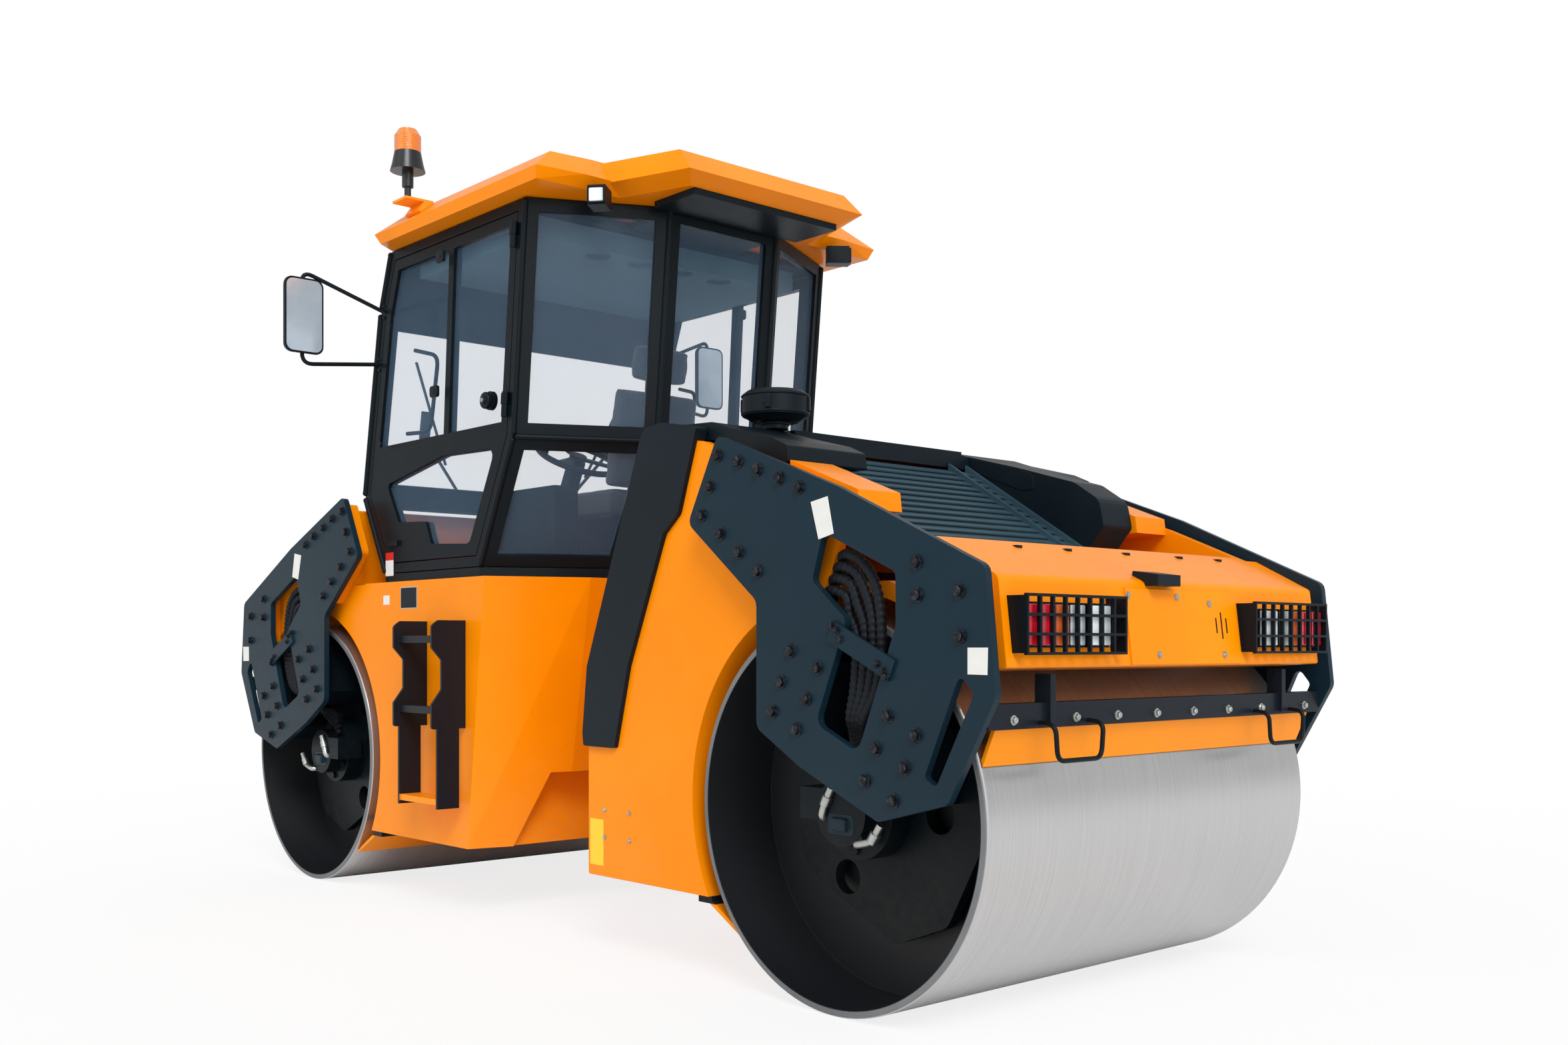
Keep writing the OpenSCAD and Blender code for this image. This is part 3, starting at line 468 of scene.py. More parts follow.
# The lamps: coloured and clear moulded lenses in black housings behind a
# guard of square bar, five to a side, and a small lamp for the number plate.
def lens(name, colour, roughness=0.12, ribs=220.0):
    f = Finish(name, Coat_Roughness=0.03)
    at = f.place()
    y = f.axes(at)[1]
    rib = f.node("Math", {"operation": "SINE"}, {0: y * ribs * 2 * math.pi / 10})
    cloud = f.noise(at, 30, 2)
    dim = tuple(c * 0.55 for c in hue(colour)[:3]) + (1,)
    base = f.mix(f.band(rib + cloud, -0.6, 1.6), dim, hue(colour))
    return f.done(Base_Color=base, Roughness=roughness, Coat_Weight=0.8, Normal=f.bump(rib, 0.0008))


lens_red = lens("lens_red", "#d8102c")
lens_amber = lens("lens_amber", "#c8541c")
lens_clear = lens("lens_clear", "#b9c2c8")
lens_white = lens("lens_white", "#e6ecf0", 0.06, 90)
dress(["rear_lamps", "front_lamps", "work_lamps"], moulded)
dress(["rear_lamp_guards", "front_lamp_guards"], night)


def block(shape, low, high, bevel=0.0):
    """Adds a box to a bmesh, with its edges rounded."""
    made = bmesh.ops.create_cube(shape, size=1.0)["verts"]
    size = Vector(high) - Vector(low)
    middle = (Vector(high) + Vector(low)) / 2
    for v in made:
        v.co = Vector((v.co.x * size.x, v.co.y * size.y, v.co.z * size.z)) + middle
    if bevel:
        edges = list({e for v in made for e in v.link_edges})
        bmesh.ops.bevel(shape, geom=edges, offset=bevel, segments=3, profile=0.5, affect="EDGES")


def shaped(name, draw, material, body=None, smooth=False):
    """A piece from a function that draws into a bmesh."""
    shape = bmesh.new()
    draw(shape)
    bmesh.ops.recalc_face_normals(shape, faces=shape.faces)
    mesh = bpy.data.meshes.new(name)
    shape.to_mesh(mesh)
    shape.free()
    for p in mesh.polygons:
        p.use_smooth = smooth
    made = new_object(name, mesh, material)
    if body:
        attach(made, body)
    return made


lamp_places = [(0.765, 0.062, "red"), (0.7, 0.062, "red"), (0.634, 0.062, "amber"), (0.563, 0.07, "clear"),
               (0.46, 0.105, "white")]
lamp_low, lamp_high = 1.113, 1.238
lens_finish = {"red": lens_red, "amber": lens_amber, "clear": lens_clear, "white": lens_white}
for end, along in ends.items():
    for colour in lens_finish:
        def draw(shape):
            for y, width, tint in lamp_places:
                if end == "front":
                    tint = {"red": "white", "amber": "amber"}.get(tint, tint)
                if tint != colour:
                    continue
                for s in (1, -1):
                    xs = sorted((along(-0.699), along(-0.7075)))
                    half = width / 2 - 0.002
                    ys = sorted((s * (y - half), s * (y + half)))
                    block(shape, (xs[0], ys[0], lamp_low + 0.006), (xs[1], ys[1], lamp_high - 0.006), 0.004)
        if end == "rear" or colour in ("white", "amber", "clear"):
            shaped(f"{end}_lenses_{colour}", draw, lens_finish[colour], end + "_frame")


# The scrapers: orange blades on black holders across each drum, with two
# bent-rod handles on the outer blade.
def scraper_finish(name):
    f = Finish(name, Coat_Roughness=0.1, Specular_IOR_Level=0.12)
    at = f.place()
    x, _, z = f.axes(at)
    cloud = f.noise(at, 3, 4)
    blade = f.band(z, 0.8875, 0.8885)
    low_blade = f.band(z, 0.2595, 0.2605)
    is_low = z < 0.45
    orange_part = is_low * (1 - low_blade) + (1 - is_low) * (1 - blade)
    base = f.mix(orange_part, hue("#171d25"), f.mix(cloud, hue("#f08a04"), hue("#ff9505")))
    return f.done(Base_Color=base, Roughness=0.32 + cloud * 0.1, Coat_Weight=0.04,
                  Normal=f.bump(cloud, 0.0003, f.rounded(0.002)))


dress(["rear_scrapers", "front_scrapers"], scraper_finish("scraper_paint"))


def tube(name, points, radius, material, body=None, cyclic=False, bend=0.0, resolution=5):
    """A round bar or pipe along straight runs whose corners are bent to a radius."""
    line = []
    pts = [Vector(p) for p in points]
    for i, p in enumerate(pts):
        if 0 < i < len(pts) - 1 and bend:
            a, b = (pts[i - 1] - p), (pts[i + 1] - p)
            cut = min(bend, a.length * 0.49, b.length * 0.49)
            start, end = p + a.normalized() * cut, p + b.normalized() * cut
            for k in range(7):
                t = k / 6
                line.append(start * (1 - t) ** 2 + p * 2 * t * (1 - t) + end * t ** 2)
        else:
            line.append(p)
    curve = bpy.data.curves.new(name, "CURVE")
    curve.dimensions = "3D"
    curve.bevel_depth = radius
    curve.bevel_resolution = resolution
    curve.use_fill_caps = True
    spline = curve.splines.new("POLY")
    spline.points.add(len(line) - 1)
    for point, co in zip(spline.points, line):
        point.co = (*co, 1)
    spline.use_cyclic_u = cyclic
    holder = bpy.data.objects.new(name + "_line", curve)
    bpy.context.scene.collection.objects.link(holder)
    bpy.context.view_layer.update()
    mesh = bpy.data.meshes.new_from_object(holder.evaluated_get(bpy.context.evaluated_depsgraph_get()))
    bpy.data.objects.remove(holder)
    mesh.name = name
    for p in mesh.polygons:
        p.use_smooth = True
    made = new_object(name, mesh, material)
    if body:
        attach(made, body)
    return made


for end, along in ends.items():
    for i, y in enumerate((0.56, -0.56)):
        tube(f"{end}_scraper_handle_{i}",
             [(along(-0.655), y + 0.11, 0.905), (along(-0.71), y + 0.11, 0.9), (along(-0.71), y + 0.1, 0.8),
              (along(-0.71), y - 0.1, 0.8), (along(-0.71), y - 0.11, 0.9), (along(-0.655), y - 0.11, 0.905)],
             0.007, night, end + "_frame", bend=0.03)
    bolts(end + "_scraper_bolts",
          [((along(-0.651), y, 0.915), (-1 if end == "rear" else 1, 0, 0))
           for y in (0.78, 0.5, 0.3, 0.1, -0.1, -0.3, -0.5, -0.78)],
          end + "_frame", zinc_bolt, 0.01, 0.009, 0.014)


# The cab: a welded frame of dark hollow section with glass all round and two
# doors hung on the rear pillars.
def step_finish():
    f = Finish("step_paint", Specular_IOR_Level=0.25)
    at = f.place()
    x, _, z = f.axes(at)
    cloud = f.noise(at, 3, 4)
    tread = f.band(z, 0.469, 0.4695) * (1 - f.band(z, 0.4955, 0.496)) * f.band(x, 0.3815, 0.3825)
    tread = tread * (1 - f.band(x, 0.6895, 0.6905))
    return f.done(Base_Color=f.mix(tread, hue("#12181f"), f.mix(cloud, hue("#f08a04"), hue("#ff9505"))),
                  Roughness=0.36 + cloud * 0.1, Normal=f.bump(cloud, 0.0003, f.rounded(0.003)))


dress(["cab_frame", "door_left", "door_right", "cab_floor", "wipers", "console", "steering_wheel"], night)
dress(["steps"], step_finish())
dress(["headliner"], plastic("ceiling_grey", "#4f6b78", 0.7))


def glass():
    f = Finish("tinted_glass", IOR=1.45, Specular_IOR_Level=0.35)
    at = f.place()
    cloud = f.noise(at, 3, 3)
    base = f.mix(cloud, hue("#7396b8"), hue("#84a4c2"))
    return f.done(Base_Color=base, Roughness=0.04 + cloud * 0.04, Alpha=0.09 + cloud * 0.03)


window_glass = glass()
dress(["cab_glass", "door_left_glass", "door_right_glass"], window_glass)


# The beacon: amber dome on a black base and folding stem, on a bent orange
# bracket at the edge of the roof.
def beacon_finish():
    f = Finish("beacon_mouldings", Coat_Roughness=0.04)
    at = f.place()
    z = f.axes(at)[2]
    dome = f.band(z, 3.2215, 3.2225)
    bracket = 1 - f.band(z, 3.0205, 3.0215)
    ribs = f.node("Math", {"operation": "SINE"}, {0: z * 900.0})
    amber = f.mix(f.band(ribs, -1, 1), hue("#d65c00"), hue("#ff9a1c"))
    base = f.mix(dome, f.mix(bracket, hue("#10141a"), hue("#ff9505")), amber)
    return f.done(Base_Color=base, Roughness=0.35 - dome * 0.25, Coat_Weight=dome * 0.9 + 0.1,
                  Normal=f.bump(ribs * dome, 0.0006, f.rounded(0.002)))


dress(["beacon"], beacon_finish())


# The swivel between the two frames: a machined yoke and two steering
# cylinders with hard-chromed rods.
def chrome():
    f = Finish("hard_chrome", metallic=1.0)
    at = f.place()
    fine = f.noise(at, 8, 3, stretch=(1, 60, 60))
    return f.done(Base_Color=f.mix(fine, hue("#b8bcc0"), hue("#e4e6e8")), Roughness=0.1 + fine * 0.12,
                  Normal=f.rounded(0.001))


dress(["pivot_yoke", "steer_barrel_left", "steer_barrel_right"], slate)
dress(["steer_rod_left", "steer_rod_right"], chrome())


# The seat: foam cushions under woven black cloth.
def cloth_black():
    f = Finish("seat_cloth", Sheen_Weight=0.3)
    at = f.place()
    weave = f.node("TexVoronoi", {}, {"Vector": at, "Scale": 600.0})
    cloud = f.noise(at, 12, 3)
    base = f.mix(weave * 1.2, hue("#15181c"), hue("#2c3138"))
    return f.done(Base_Color=base, Roughness=0.85 + cloud * 0.1, Normal=f.bump(weave, 0.0005))




seat_cloth = cloth_black()


def cushion(name, low, high, cap, crown=0.0, lean=0.0, hinge=(0, 0)):
    """A foam block that swells in its cover. It leans back about a line across the seat at hinge (x, z)."""
    shape = bmesh.new()
    bmesh.ops.create_cube(shape, size=1.0)
    bmesh.ops.subdivide_edges(shape, edges=shape.edges, cuts=5, use_grid_fill=True)
    size, middle = Vector(high) - Vector(low), (Vector(high) + Vector(low)) / 2
    turn = Matrix.Rotation(lean, 4, "Y")
    foot = Vector((hinge[0], 0, hinge[1]))
    for v in shape.verts:
        c = v.co * 2
        pull = 1 - crown * (c.x * c.x * c.y * c.y + c.y * c.y * c.z * c.z + c.x * c.x * c.z * c.z) / 3
        at = Vector((v.co.x * size.x, v.co.y * size.y, v.co.z * size.z)) * pull + middle
        v.co = turn @ (at - foot) + foot
    mesh = bpy.data.meshes.new(name)
    shape.to_mesh(mesh)
    shape.free()
    made = new_object(name, mesh, seat_cloth)
    skin = made.modifiers.new("skin", "REMESH")
    skin.mode = "VOXEL"
    skin.voxel_size = 0.011
    flatten(made)
    rest = [v.co.copy() for v in made.data.vertices]
    cloth = made.modifiers.new("cover", "CLOTH")
    cloth.settings.use_pressure = True
    cloth.settings.uniform_pressure_force = 4.0
    cloth.settings.effector_weights.gravity = 0.0
    cloth.point_cache.frame_start, cloth.point_cache.frame_end = 1, 20
    for frame_no in range(1, 21):
        bpy.context.scene.frame_set(frame_no)
    flatten(made)
    bpy.context.scene.frame_set(1)
    for v, was in zip(made.data.vertices, rest):
        moved = v.co - was
        if moved.length > cap:
            v.co = was + moved * (cap / moved.length)
    finer = made.modifiers.new("finer", "SUBSURF")
    finer.levels = finer.render_levels = 1
    for p in made.data.polygons:
        p.use_smooth = True
    made.data.materials.clear()
    made.data.materials.append(seat_cloth)
    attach(made, "front_frame")
    return made


def flatten(made):
    """Keeps what the modifiers make of a piece and takes them off."""
    bpy.context.view_layer.update()
    mesh = bpy.data.meshes.new_from_object(made.evaluated_get(bpy.context.evaluated_depsgraph_get()))
    made.modifiers.clear()
    made.data = mesh


seat_tilt = math.radians(-11)
seat_parts = [
    cushion("seat_base", (0.21, -0.225, 1.685), (0.7, 0.225, 1.79), 0.014, 0.05),
    cushion("seat_back", (0.215, -0.215, 1.80), (0.305, 0.215, 2.25), 0.014, 0.06, seat_tilt, (0.29, 1.78)),
    cushion("seat_headrest", (0.225, -0.135, 2.285), (0.3, 0.135, 2.43), 0.012, 0.1, seat_tilt, (0.29, 1.78))]
for made in seat_parts:
    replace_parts(made, "seat")


# The hoses in the plates' windows: rubber hose in a spiral wrap. Four leave
# the body on each side, droop across the window and turn in to the motor.
def hose_tree():
    """A line becomes a hose whose wrap swells and narrows once in each pitch."""
    tree = bpy.data.node_groups.new("wrapped_hose", "GeometryNodeTree")
    ids = {"Line": socket_of(tree, "Line", "Geometry"),
           "Radius": socket_of(tree, "Radius", "Float", 0.0155),
           "Pitch": socket_of(tree, "Pitch", "Float", 0.014),
           "Depth": socket_of(tree, "Depth", "Float", 0.05),
           "Finish": socket_of(tree, "Finish", "Material")}
    tree.interface.new_socket("Hose", in_out="OUTPUT", socket_type="NodeSocketGeometry")
    new, link = tree.nodes.new, tree.links.new
    given, result = new("NodeGroupInput"), new("NodeGroupOutput")
    line, spaced, round_ = new("GeometryNodeMeshToCurve"), new("GeometryNodeResampleCurve"), new("GeometryNodeCurvePrimitiveCircle")
    spaced.mode = "LENGTH"
    spaced.inputs["Length"].default_value = 0.0045
    round_.inputs["Resolution"].default_value = 12

    def sum_of(operation, a, b):
        made = new("ShaderNodeMath")
        made.operation = operation
        for i, value in enumerate((a, b)):
            if isinstance(value, float):
                made.inputs[i].default_value = value
            elif value is not None:
                link(value, made.inputs[i])
        return made.outputs[0]

    link(given.outputs["Line"], line.inputs[0])
    link(line.outputs[0], spaced.inputs["Curve"])
    link(given.outputs["Radius"], round_.inputs["Radius"])
    along_it = new("GeometryNodeSplineParameter").outputs["Length"]
    wave = sum_of("SINE", sum_of("MULTIPLY", sum_of("DIVIDE", along_it, given.outputs["Pitch"]), 2 * math.pi), None)
    swell = sum_of("ADD", sum_of("MULTIPLY", wave, given.outputs["Depth"]), 1.0)
    skinned, smooth, painted = new("GeometryNodeCurveToMesh"), new("GeometryNodeSetShadeSmooth"), new("GeometryNodeSetMaterial")
    link(spaced.outputs[0], skinned.inputs["Curve"])
    link(round_.outputs[0], skinned.inputs["Profile Curve"])
    link(swell, skinned.inputs["Scale"])
    skinned.inputs["Fill Caps"].default_value = True
    link(skinned.outputs[0], smooth.inputs[0])
    link(smooth.outputs[0], painted.inputs[0])
    link(given.outputs["Finish"], painted.inputs["Material"])
    link(painted.outputs[0], result.inputs[0])
    return tree, ids


def smooth_path(points, steps=8):
    """A curve through the points, as a list of closer points."""
    pts = [Vector(p) for p in points]
    pts = [2 * pts[0] - pts[1]] + pts + [2 * pts[-1] - pts[-2]]
    line = []
    for a, b, c, d in zip(pts, pts[1:], pts[2:], pts[3:]):
        for i in range(steps):
            t = i / steps
            line.append(0.5 * (2 * b + (c - a) * t + (2 * a - 5 * b + 4 * c - d) * t ** 2
                               + (3 * b - a - 3 * c + d) * t ** 3))
    return line + [pts[-2]]


def line_mesh(name, lines):
    mesh = bpy.data.meshes.new(name)
    points, edges = [], []
    for line in lines:
        edges += [(len(points) + i, len(points) + i + 1) for i in range(len(line) - 1)]
        points += line
    mesh.from_pydata(points, edges, [])
    return mesh


def motor_hose(along, s, k):
    """The route of hose number k, counted from the outermost."""
    drop, aside = 0.035 * k, 0.033 * k
    route = [(-0.02 + 0.02 * k, 0.79, 1.365 - drop), (-0.045 + 0.02 * k, 0.835, 1.385 - drop),
             (-0.1 + 0.02 * k, 0.863, 1.388 - drop), (-0.155 + aside * 0.6, 0.866, 1.365 - drop),
             (-0.205 + aside, 0.866, 1.31 - drop), (-0.233 + aside, 0.866, 1.22 - drop * 0.6),
             (-0.235 + aside, 0.866, 1.1), (-0.215 + aside * 0.9, 0.866, 0.99), (-0.165 + aside * 0.6, 0.862, 0.91),
             (-0.12 + aside * 0.4, 0.825, 0.865), (-0.06 + aside * 0.3, 0.77, 0.81), (0.03, 0.745, 0.74 + 0.02 * k),
             (0.08, 0.74, 0.69 + 0.03 * k)]
    return smooth_path([(along(u), s * y, z) for u, y, z in route])


hose_finish = plastic("hose_wrap", "#13171c", 0.5, 400, 0.0004, 0.0015)
wrap_tree, wrap_ids = hose_tree()
for end, along in ends.items():
    made = grown(end + "_wrapped_hoses",
                 line_mesh(end + "_hose_lines", [motor_hose(along, s, k) for s in (1, -1) for k in range(4)]),
                 wrap_tree, wrap_ids, {"Radius": 0.0155, "Pitch": 0.021, "Depth": 0.1, "Finish": hose_finish},
                 end + "_frame")
    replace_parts(made, end + "_hoses")


# The mirrors: a bent tube loop at each door's front pillar, with a rounded
# head that leans on it and a pane of mirror glass facing back.
def rounded_outline(width, height, radius, steps=5):
    """Points round a rectangle with rounded corners, about its middle."""
    points = []
    for k, (a, b) in enumerate(((1, 1), (-1, 1), (-1, -1), (1, -1))):
        for i in range(steps + 1):
            turn = math.radians(90 * (k + i / steps))
            points.append((a * (width / 2 - radius) + radius * math.cos(turn),
                           b * (height / 2 - radius) + radius * math.sin(turn)))
    return points


def loft(shape, rings):
    """Joins closed rings of points with faces and closes both ends."""
    made = [[shape.verts.new(p) for p in ring] for ring in rings]
    for low, high in zip(made, made[1:]):
        for i in range(len(low)):
            j = (i + 1) % len(low)
            shape.faces.new((low[i], low[j], high[j], high[i]))
    shape.faces.new(made[0])
    shape.faces.new(made[-1])


def mirror_finish():
    f = Finish("mirror_glass", metallic=0.35)
    haze = f.noise(f.place(), 9, 3)
    return f.done(Base_Color=f.mix(haze, hue("#a9bccb"), hue("#d6e0e8")), Roughness=0.05 + haze * 0.05)


mirror_pane = mirror_finish()
mirror_y, mirror_z = 1.148, 2.565
mirror_depths = [(1.2425, 0.7), (1.24, 0.86), (1.232, 0.96), (1.22, 1.0), (1.208, 1.0), (1.2055, 0.985),
                 (1.2055, 0.93), (1.2085, 0.92)]
for side, s in (("left", 1), ("right", -1)):
    arm = tube(f"mirror_arm_{side}",
               [(1.142, s * 0.806, 2.62), (1.232, s * mirror_y, 2.765), (1.232, s * mirror_y, 2.355),
                (1.19, s * 0.806, 2.39)], 0.009, night, "front_frame", bend=0.05, resolution=6)
    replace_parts(arm, "mirrors")

    def head(shape):
        loft(shape, [[(x, s * mirror_y + a, mirror_z + b)
                      for a, b in rounded_outline(0.178 * k, 0.33 - 0.178 * (1 - k), 0.035 * k)]
                     for x, k in mirror_depths])

    def pane(shape):
        outline = rounded_outline(0.162, 0.314, 0.03)
        loft(shape, [[(x, s * mirror_y + a, mirror_z + b) for a, b in outline] for x in (1.2085, 1.2065)])

    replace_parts(shaped(f"mirror_head_{side}", head, moulded, "front_frame", smooth=False), "mirrors")
    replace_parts(shaped(f"mirror_pane_{side}", pane, mirror_pane, "front_frame"), "mirrors")
    bolts(f"mirror_bolts_{side}",
          [((1.142, s * 0.8, 2.645), (0, s, 0)), ((1.142, s * 0.8, 2.595), (0, s, 0)),
           ((1.19, s * 0.8, 2.415), (0, s, 0)), ((1.19, s * 0.8, 2.365), (0, s, 0))],
          "front_frame", head=0.006, height=0.005, washer=0.008)


# Small plates and labels, all blank, and the screws that show on the body's
# sides and on the end panels' covers.
def label(name, colour, rough=0.3):
    f = Finish(name)
    at = f.place()
    cloud = f.noise(at, 24, 4)
    return f.done(Base_Color=f.mix(cloud, tuple(c * 0.86 for c in hue(colour)[:3]) + (1,), hue(colour)),
                  Roughness=rough + cloud * 0.15)


label_white = label("label_white", "#e8e8e4")
label_yellow = label("label_yellow", "#ffd21f")
label_red = label("label_red", "#d3261e")
plate_metal = label("label_plate_metal", "#aeb4b8", 0.35)


def patch(shape, corners, out, thick=0.0012):
    """A thin plate with the given corners, raised in the direction out, its edge eased."""
    pts, out = [Vector(c) for c in corners], Vector(out)
    middle = sum(pts, Vector()) / len(pts)
    inner = [p + (middle - p).normalized() * 0.0015 for p in pts]
    loft(shape, [[p - out * 0.001 for p in pts], [p + out * thick * 0.6 for p in pts],
                 [p + out * thick for p in inner]])


def panel(x0, x1, z0, z1, y):
    return [(x0, y, z0), (x1, y, z0), (x1, y, z1), (x0, y, z1)]


tall_label = [(0.017, 1.549), (-0.056, 1.561), (-0.082, 1.449), (-0.017, 1.435)]
square_label = [(-0.599, 1.113), (-0.67, 1.113), (-0.668, 1.04), (-0.599, 1.041)]
for end, along in ends.items():
    body = end + "_frame"
    for s, side in ((1, "left"), (-1, "right")):
        shaped(f"{end}_tall_label_{side}",
               lambda shape: patch(shape, [(along(u), s * plate_y, z) for u, z in tall_label], (0, s, 0)),
               label_white, body)
        shaped(f"{end}_square_label_{side}",
               lambda shape: patch(shape, [(along(u), s * plate_y, z) for u, z in square_label], (0, s, 0)),
               label_white, body)


body_y, cab_y = 0.835, 0.8
for s, side in ((1, "left"), (-1, "right")):
    for name, x0, x1, z0, z1, y, finish, body in (
            ("pinch_label", -0.602, -0.52, 0.322, 0.489, body_y, label_yellow, "rear_frame"),
            ("cab_label_lower", 1.058, 1.13, 1.43, 1.5, cab_y, label_white, "front_frame"),
            ("cab_label_upper", 1.058, 1.13, 1.5, 1.535, cab_y, label_red, "front_frame"),
            ("small_label", 1.027, 1.084, 1.3, 1.341, body_y, label_white, "front_frame"),
            ("maker_plate_rim", 0.777, 0.924, 1.279, 1.374, body_y, plate_metal, "front_frame")):
        shaped(f"{name}_{side}", lambda shape: patch(shape, [(x, s * c, z) for x, c, z in panel(x0, x1, z0, z1, y)],
                                                     (0, s, 0)), finish, body)
    shaped(f"maker_plate_{side}",
           lambda shape: patch(shape, [(x, s * c, z) for x, c, z in panel(0.781, 0.92, 1.283, 1.37, body_y + 0.0008)],
                               (0, s, 0)), moulded, "front_frame")
bolts("body_side_screws", [((x, s * body_y, z), (0, s, 0)) for x in (-0.61, -0.76) for z in (0.427, 0.525)
                           for s in (1, -1)], "rear_frame", zinc_bolt, 0.006, 0.004, 0.009)


def face_u(z):
    """Place along the frame of the end panel's cover at a height."""
    return -0.674 + (z - 1.057) * 31 / 253 - 0.0055


for end, along in ends.items():
    out = -1 if end == "rear" else 1
    bolts(end + "_cover_screws", [((along(face_u(z)), y, z), (out, 0, 0.12)) for y, z in
                                  ((0.252, 1.268), (-0.003, 1.267), (0.12, 1.091), (-0.18, 1.25), (-0.24, 1.09))],
          end + "_frame", zinc_bolt, 0.007, 0.005, 0.011)

    def slots(shape):
        for y, z0, z1 in ((-0.212, 1.158, 1.206), (-0.242, 1.14, 1.224), (-0.27, 1.158, 1.206)):
            patch(shape, [(along(face_u(z)), c, z) for c, z in ((y - 0.003, z0), (y + 0.003, z0), (y + 0.003, z1),
                                                               (y - 0.003, z1))], (out, 0, 0.12), 0.0006)

    def clips(shape):
        for y in (0.47, 0.228, -0.079, -0.382, -0.622):
            x = sorted((along(-0.395), along(-0.425)))
            block(shape, (x[0], y - 0.014, 1.392), (x[1], y + 0.014, 1.418), 0.003)

    shaped(end + "_cover_slots", slots, night, end + "_frame")
    shaped(end + "_strip_clips", clips, moulded, end + "_frame")


# The work lamps under the roof: square lenses in moulded housings, two that
# look back and out at the corners and two over the windscreen.
def disc_outline(radius, steps=24):
    return [(radius * math.cos(2 * math.pi * i / steps), radius * math.sin(2 * math.pi * i / steps))
            for i in range(steps)]


def stacked(shape, origin, a, b, out, outline, layers):
    """Lofts one outline in the plane of a and b: layers are (distance along out, scale)."""
    o, a, b, out = Vector(origin), Vector(a), Vector(b), Vector(out)
    loft(shape, [[o + a * p * k + b * q * k + out * d for p, q in outline] for d, k in layers])


lamp_turn = math.radians(40)
rim, pane_outline = rounded_outline(0.07, 0.066, 0.008), rounded_outline(0.056, 0.052, 0.005)
for side, s in (("left", 1), ("right", -1)):
    across = (math.cos(lamp_turn), s * math.sin(lamp_turn), 0)
    out = (-math.sin(lamp_turn), s * math.cos(lamp_turn), 0)
    rear_at = (-0.3 + out[0] * 0.05, s * 0.64 + out[1] * 0.05, 2.842)
    front_at = (1.15, s * 0.5, 2.842)
    for where, at, a, o in (("rear", rear_at, across, out), ("front", front_at, (0, 1, 0), (1, 0, 0))):
        shaped(f"work_lamp_rim_{where}_{side}",
               lambda shape: stacked(shape, at, a, (0, 0, 1), o, rim,
                                     ((-0.001, 1.0), (0.006, 1.0), (0.009, 0.95), (0.009, 0.84), (0.003, 0.82))),
               moulded, "front_frame")
        shaped(f"work_lamp_lens_{where}_{side}",
               lambda shape: stacked(shape, at, a, (0, 0, 1), o, pane_outline,
                                     ((0.002, 1.0), (0.0055, 1.0), (0.0075, 0.9), (0.0085, 0.6))),
               lens_white, "front_frame", smooth=False)


# The doors' fittings: pressed hinges, a round lock with its key plate, hinge
# blocks for the opening quarter window and a loop to hold inside the glass.
for side, s in (("left", 1), ("right", -1)):
    body = "door_" + side
    y = s * 0.83

    def fittings(shape):
        for x, z in ((0.58, 2.755), (0.632, 2.194)):
            stacked(shape, (x, y, z), (1, 0, 0), (0, 0, 1), (0, s, 0), rounded_outline(0.062, 0.048, 0.012),
                    ((-0.004, 1.0), (0.008, 1.0), (0.011, 0.88), (0.011, 0.5), (0.014, 0.42)))
        for x, z in ((1.03, 2.53), (1.12, 2.02)):
            stacked(shape, (x, y, z), (1, 0, 0), (0, 0, 1), (0, s, 0), disc_outline(0.012),
                    ((-0.004, 1.0), (0.006, 1.0), (0.009, 0.7)))
        stacked(shape, (0.219, y, 2.106), (1, 0, 0), (0, 0, 1), (0, s, 0), disc_outline(0.034),
                ((-0.006, 1.0), (0.006, 1.0), (0.01, 0.92), (0.01, 0.55), (0.016, 0.5), (0.018, 0.4)))

    shaped(f"door_fittings_{side}", fittings, moulded, body)
    bolts(f"door_lock_key_{side}", [((0.219, y + s * 0.018, 2.106), (0, s, 0))], body, zinc_bolt, 0.006, 0.004, 0.009)
    tube(f"door_loop_{side}", [(0.962, s * 0.745, 2.428), (0.8, s * 0.72, 2.385), (0.87, s * 0.72, 2.06),
                               (1.034, s * 0.745, 2.066)], 0.009, night, body, bend=0.05)
    tube(f"door_low_handle_{side}", [(1.0, s * 0.79, 1.585), (0.985, s * 0.79, 1.612), (0.78, s * 0.79, 1.605),
                                     (0.765, s * 0.79, 1.575)], 0.008, night, body, bend=0.015)


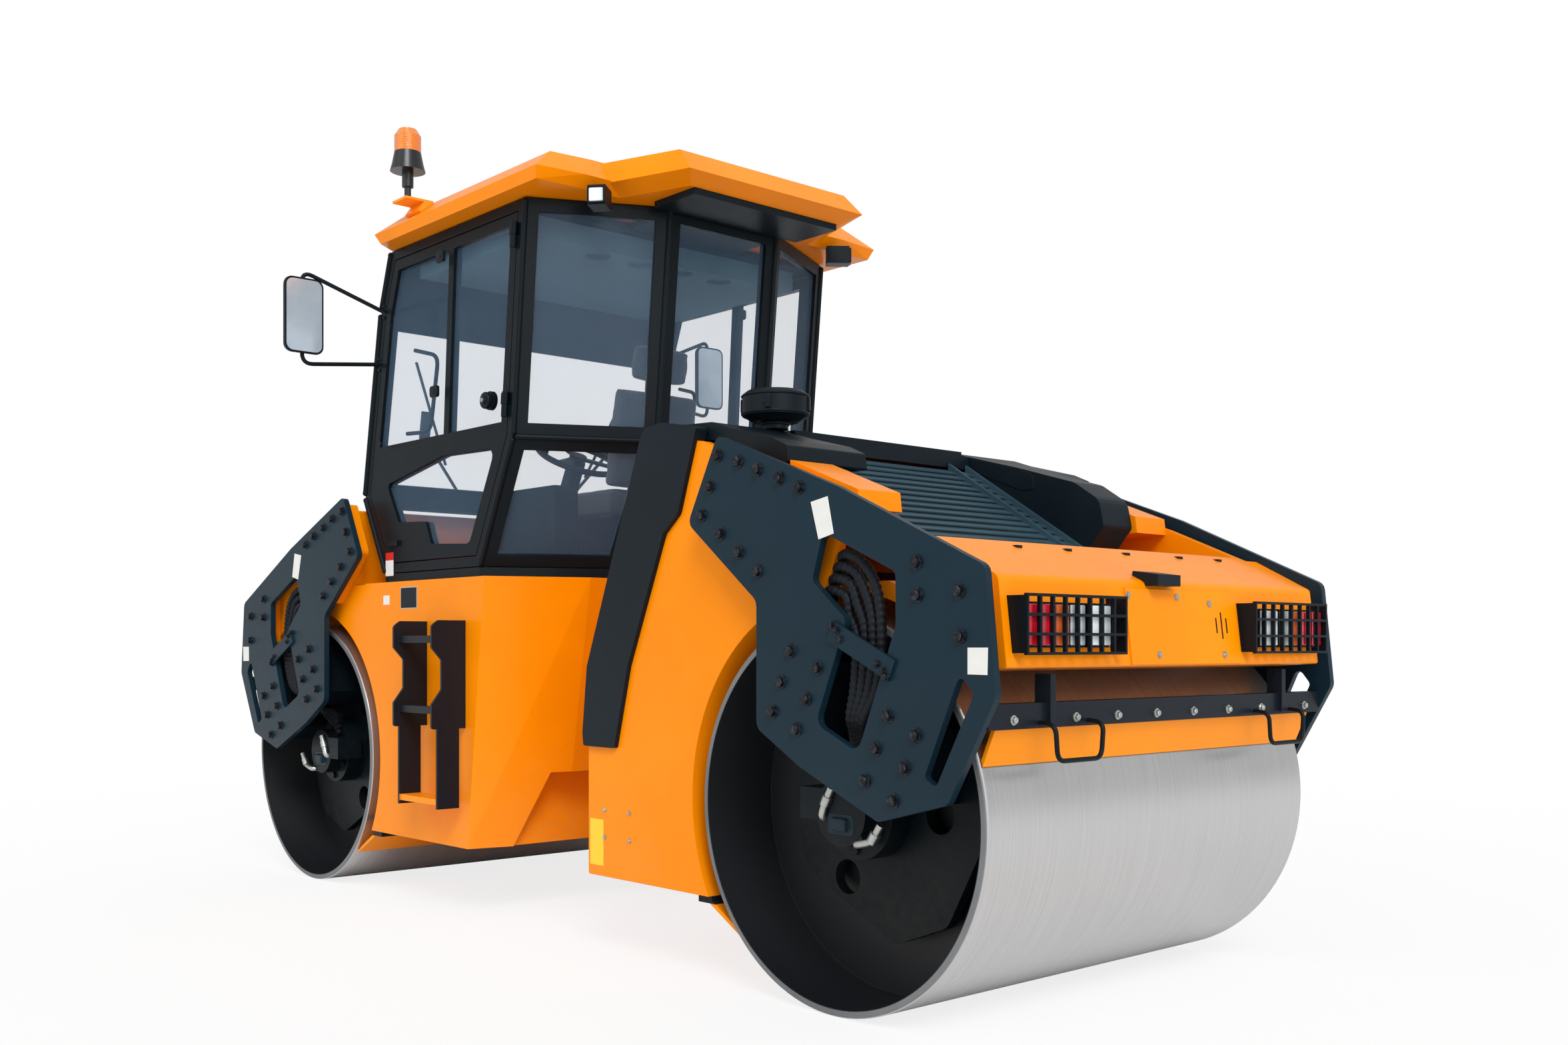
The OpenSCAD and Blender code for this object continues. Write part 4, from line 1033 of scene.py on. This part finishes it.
# The air cleaner's cap: moulded, with a rolled band round its bowl, sprung
# clips and a clamp round its neck.
def cap_band(shape):
    middle = Vector((-1.16, 0.5, 0))
    for z, radius, tall in ((1.9195, 0.1175, 0.009), (1.982, 0.1175, 0.006), (1.885, 0.047, 0.012)):
        rings = []
        for grow, rise in ((-0.002, 0), (0.0015, 0), (0.003, 0.3), (0.003, 0.7), (0.0015, 1), (-0.002, 1)):
            rings.append([middle + Vector((a, b, z + rise * tall)) for a, b in disc_outline(radius + grow, 64)])
        loft(shape, rings)
    for k in range(4):
        turn = math.radians(90 * k + 35)
        out = Vector((math.cos(turn), math.sin(turn), 0))
        side = Vector((-out.y, out.x, 0))
        stacked(shape, middle + out * 0.117 + Vector((0, 0, 1.955)), side, (0, 0, 1), out,
                rounded_outline(0.02, 0.05, 0.004), ((-0.002, 1.0), (0.005, 1.0), (0.007, 0.8)))


shaped("precleaner_bands", cap_band, moulded, "hood")


# The drum motors' fittings that show between the plates and the carriers:
# zinc-plated elbows and nuts on a dark casting, with short hoses.
for end, along in ends.items():
    for s, side in ((1, "left"), (-1, "right")):
        def casting(shape):
            stacked(shape, (along(0.0), s * 0.78, 0.575), (1, 0, 0), (0, 0, 1), (0, s, 0),
                    rounded_outline(0.12, 0.07, 0.015),
                    ((-0.05, 1.0), (0.015, 1.0), (0.022, 0.9), (0.022, 0.6), (0.034, 0.55), (0.037, 0.45)))
            for u, z in ((0.075, 0.59), (-0.07, 0.535)):
                stacked(shape, (along(u), s * 0.78, z), (1, 0, 0), (0, 0, 1), (0, s, 0),
                        disc_outline(0.024, 6), ((-0.05, 1.0), (0.015, 1.0), (0.019, 0.9)))

        shaped(f"{end}_motor_casting_{side}", casting, slate, end + "_frame")
        for k, route in enumerate((((0.075, 0.59), (0.06, 0.63), (0.03, 0.685)),
                                   ((-0.07, 0.52), (-0.14, 0.535), (-0.18, 0.59)))):
            places = [(along(u), s * 0.81, z) for u, z in route]
            tube(f"{end}_motor_elbow_{side}_{k}",
                 [(places[0][0], s * 0.77, places[0][2])] + places, 0.012, zinc_bolt, end + "_frame", bend=0.02)
            tube(f"{end}_motor_nut_{side}_{k}",
                 [places[1], (Vector(places[1]) * 0.5 + Vector(places[2]) * 0.5)], 0.017, zinc_bolt,
                 end + "_frame", resolution=1)
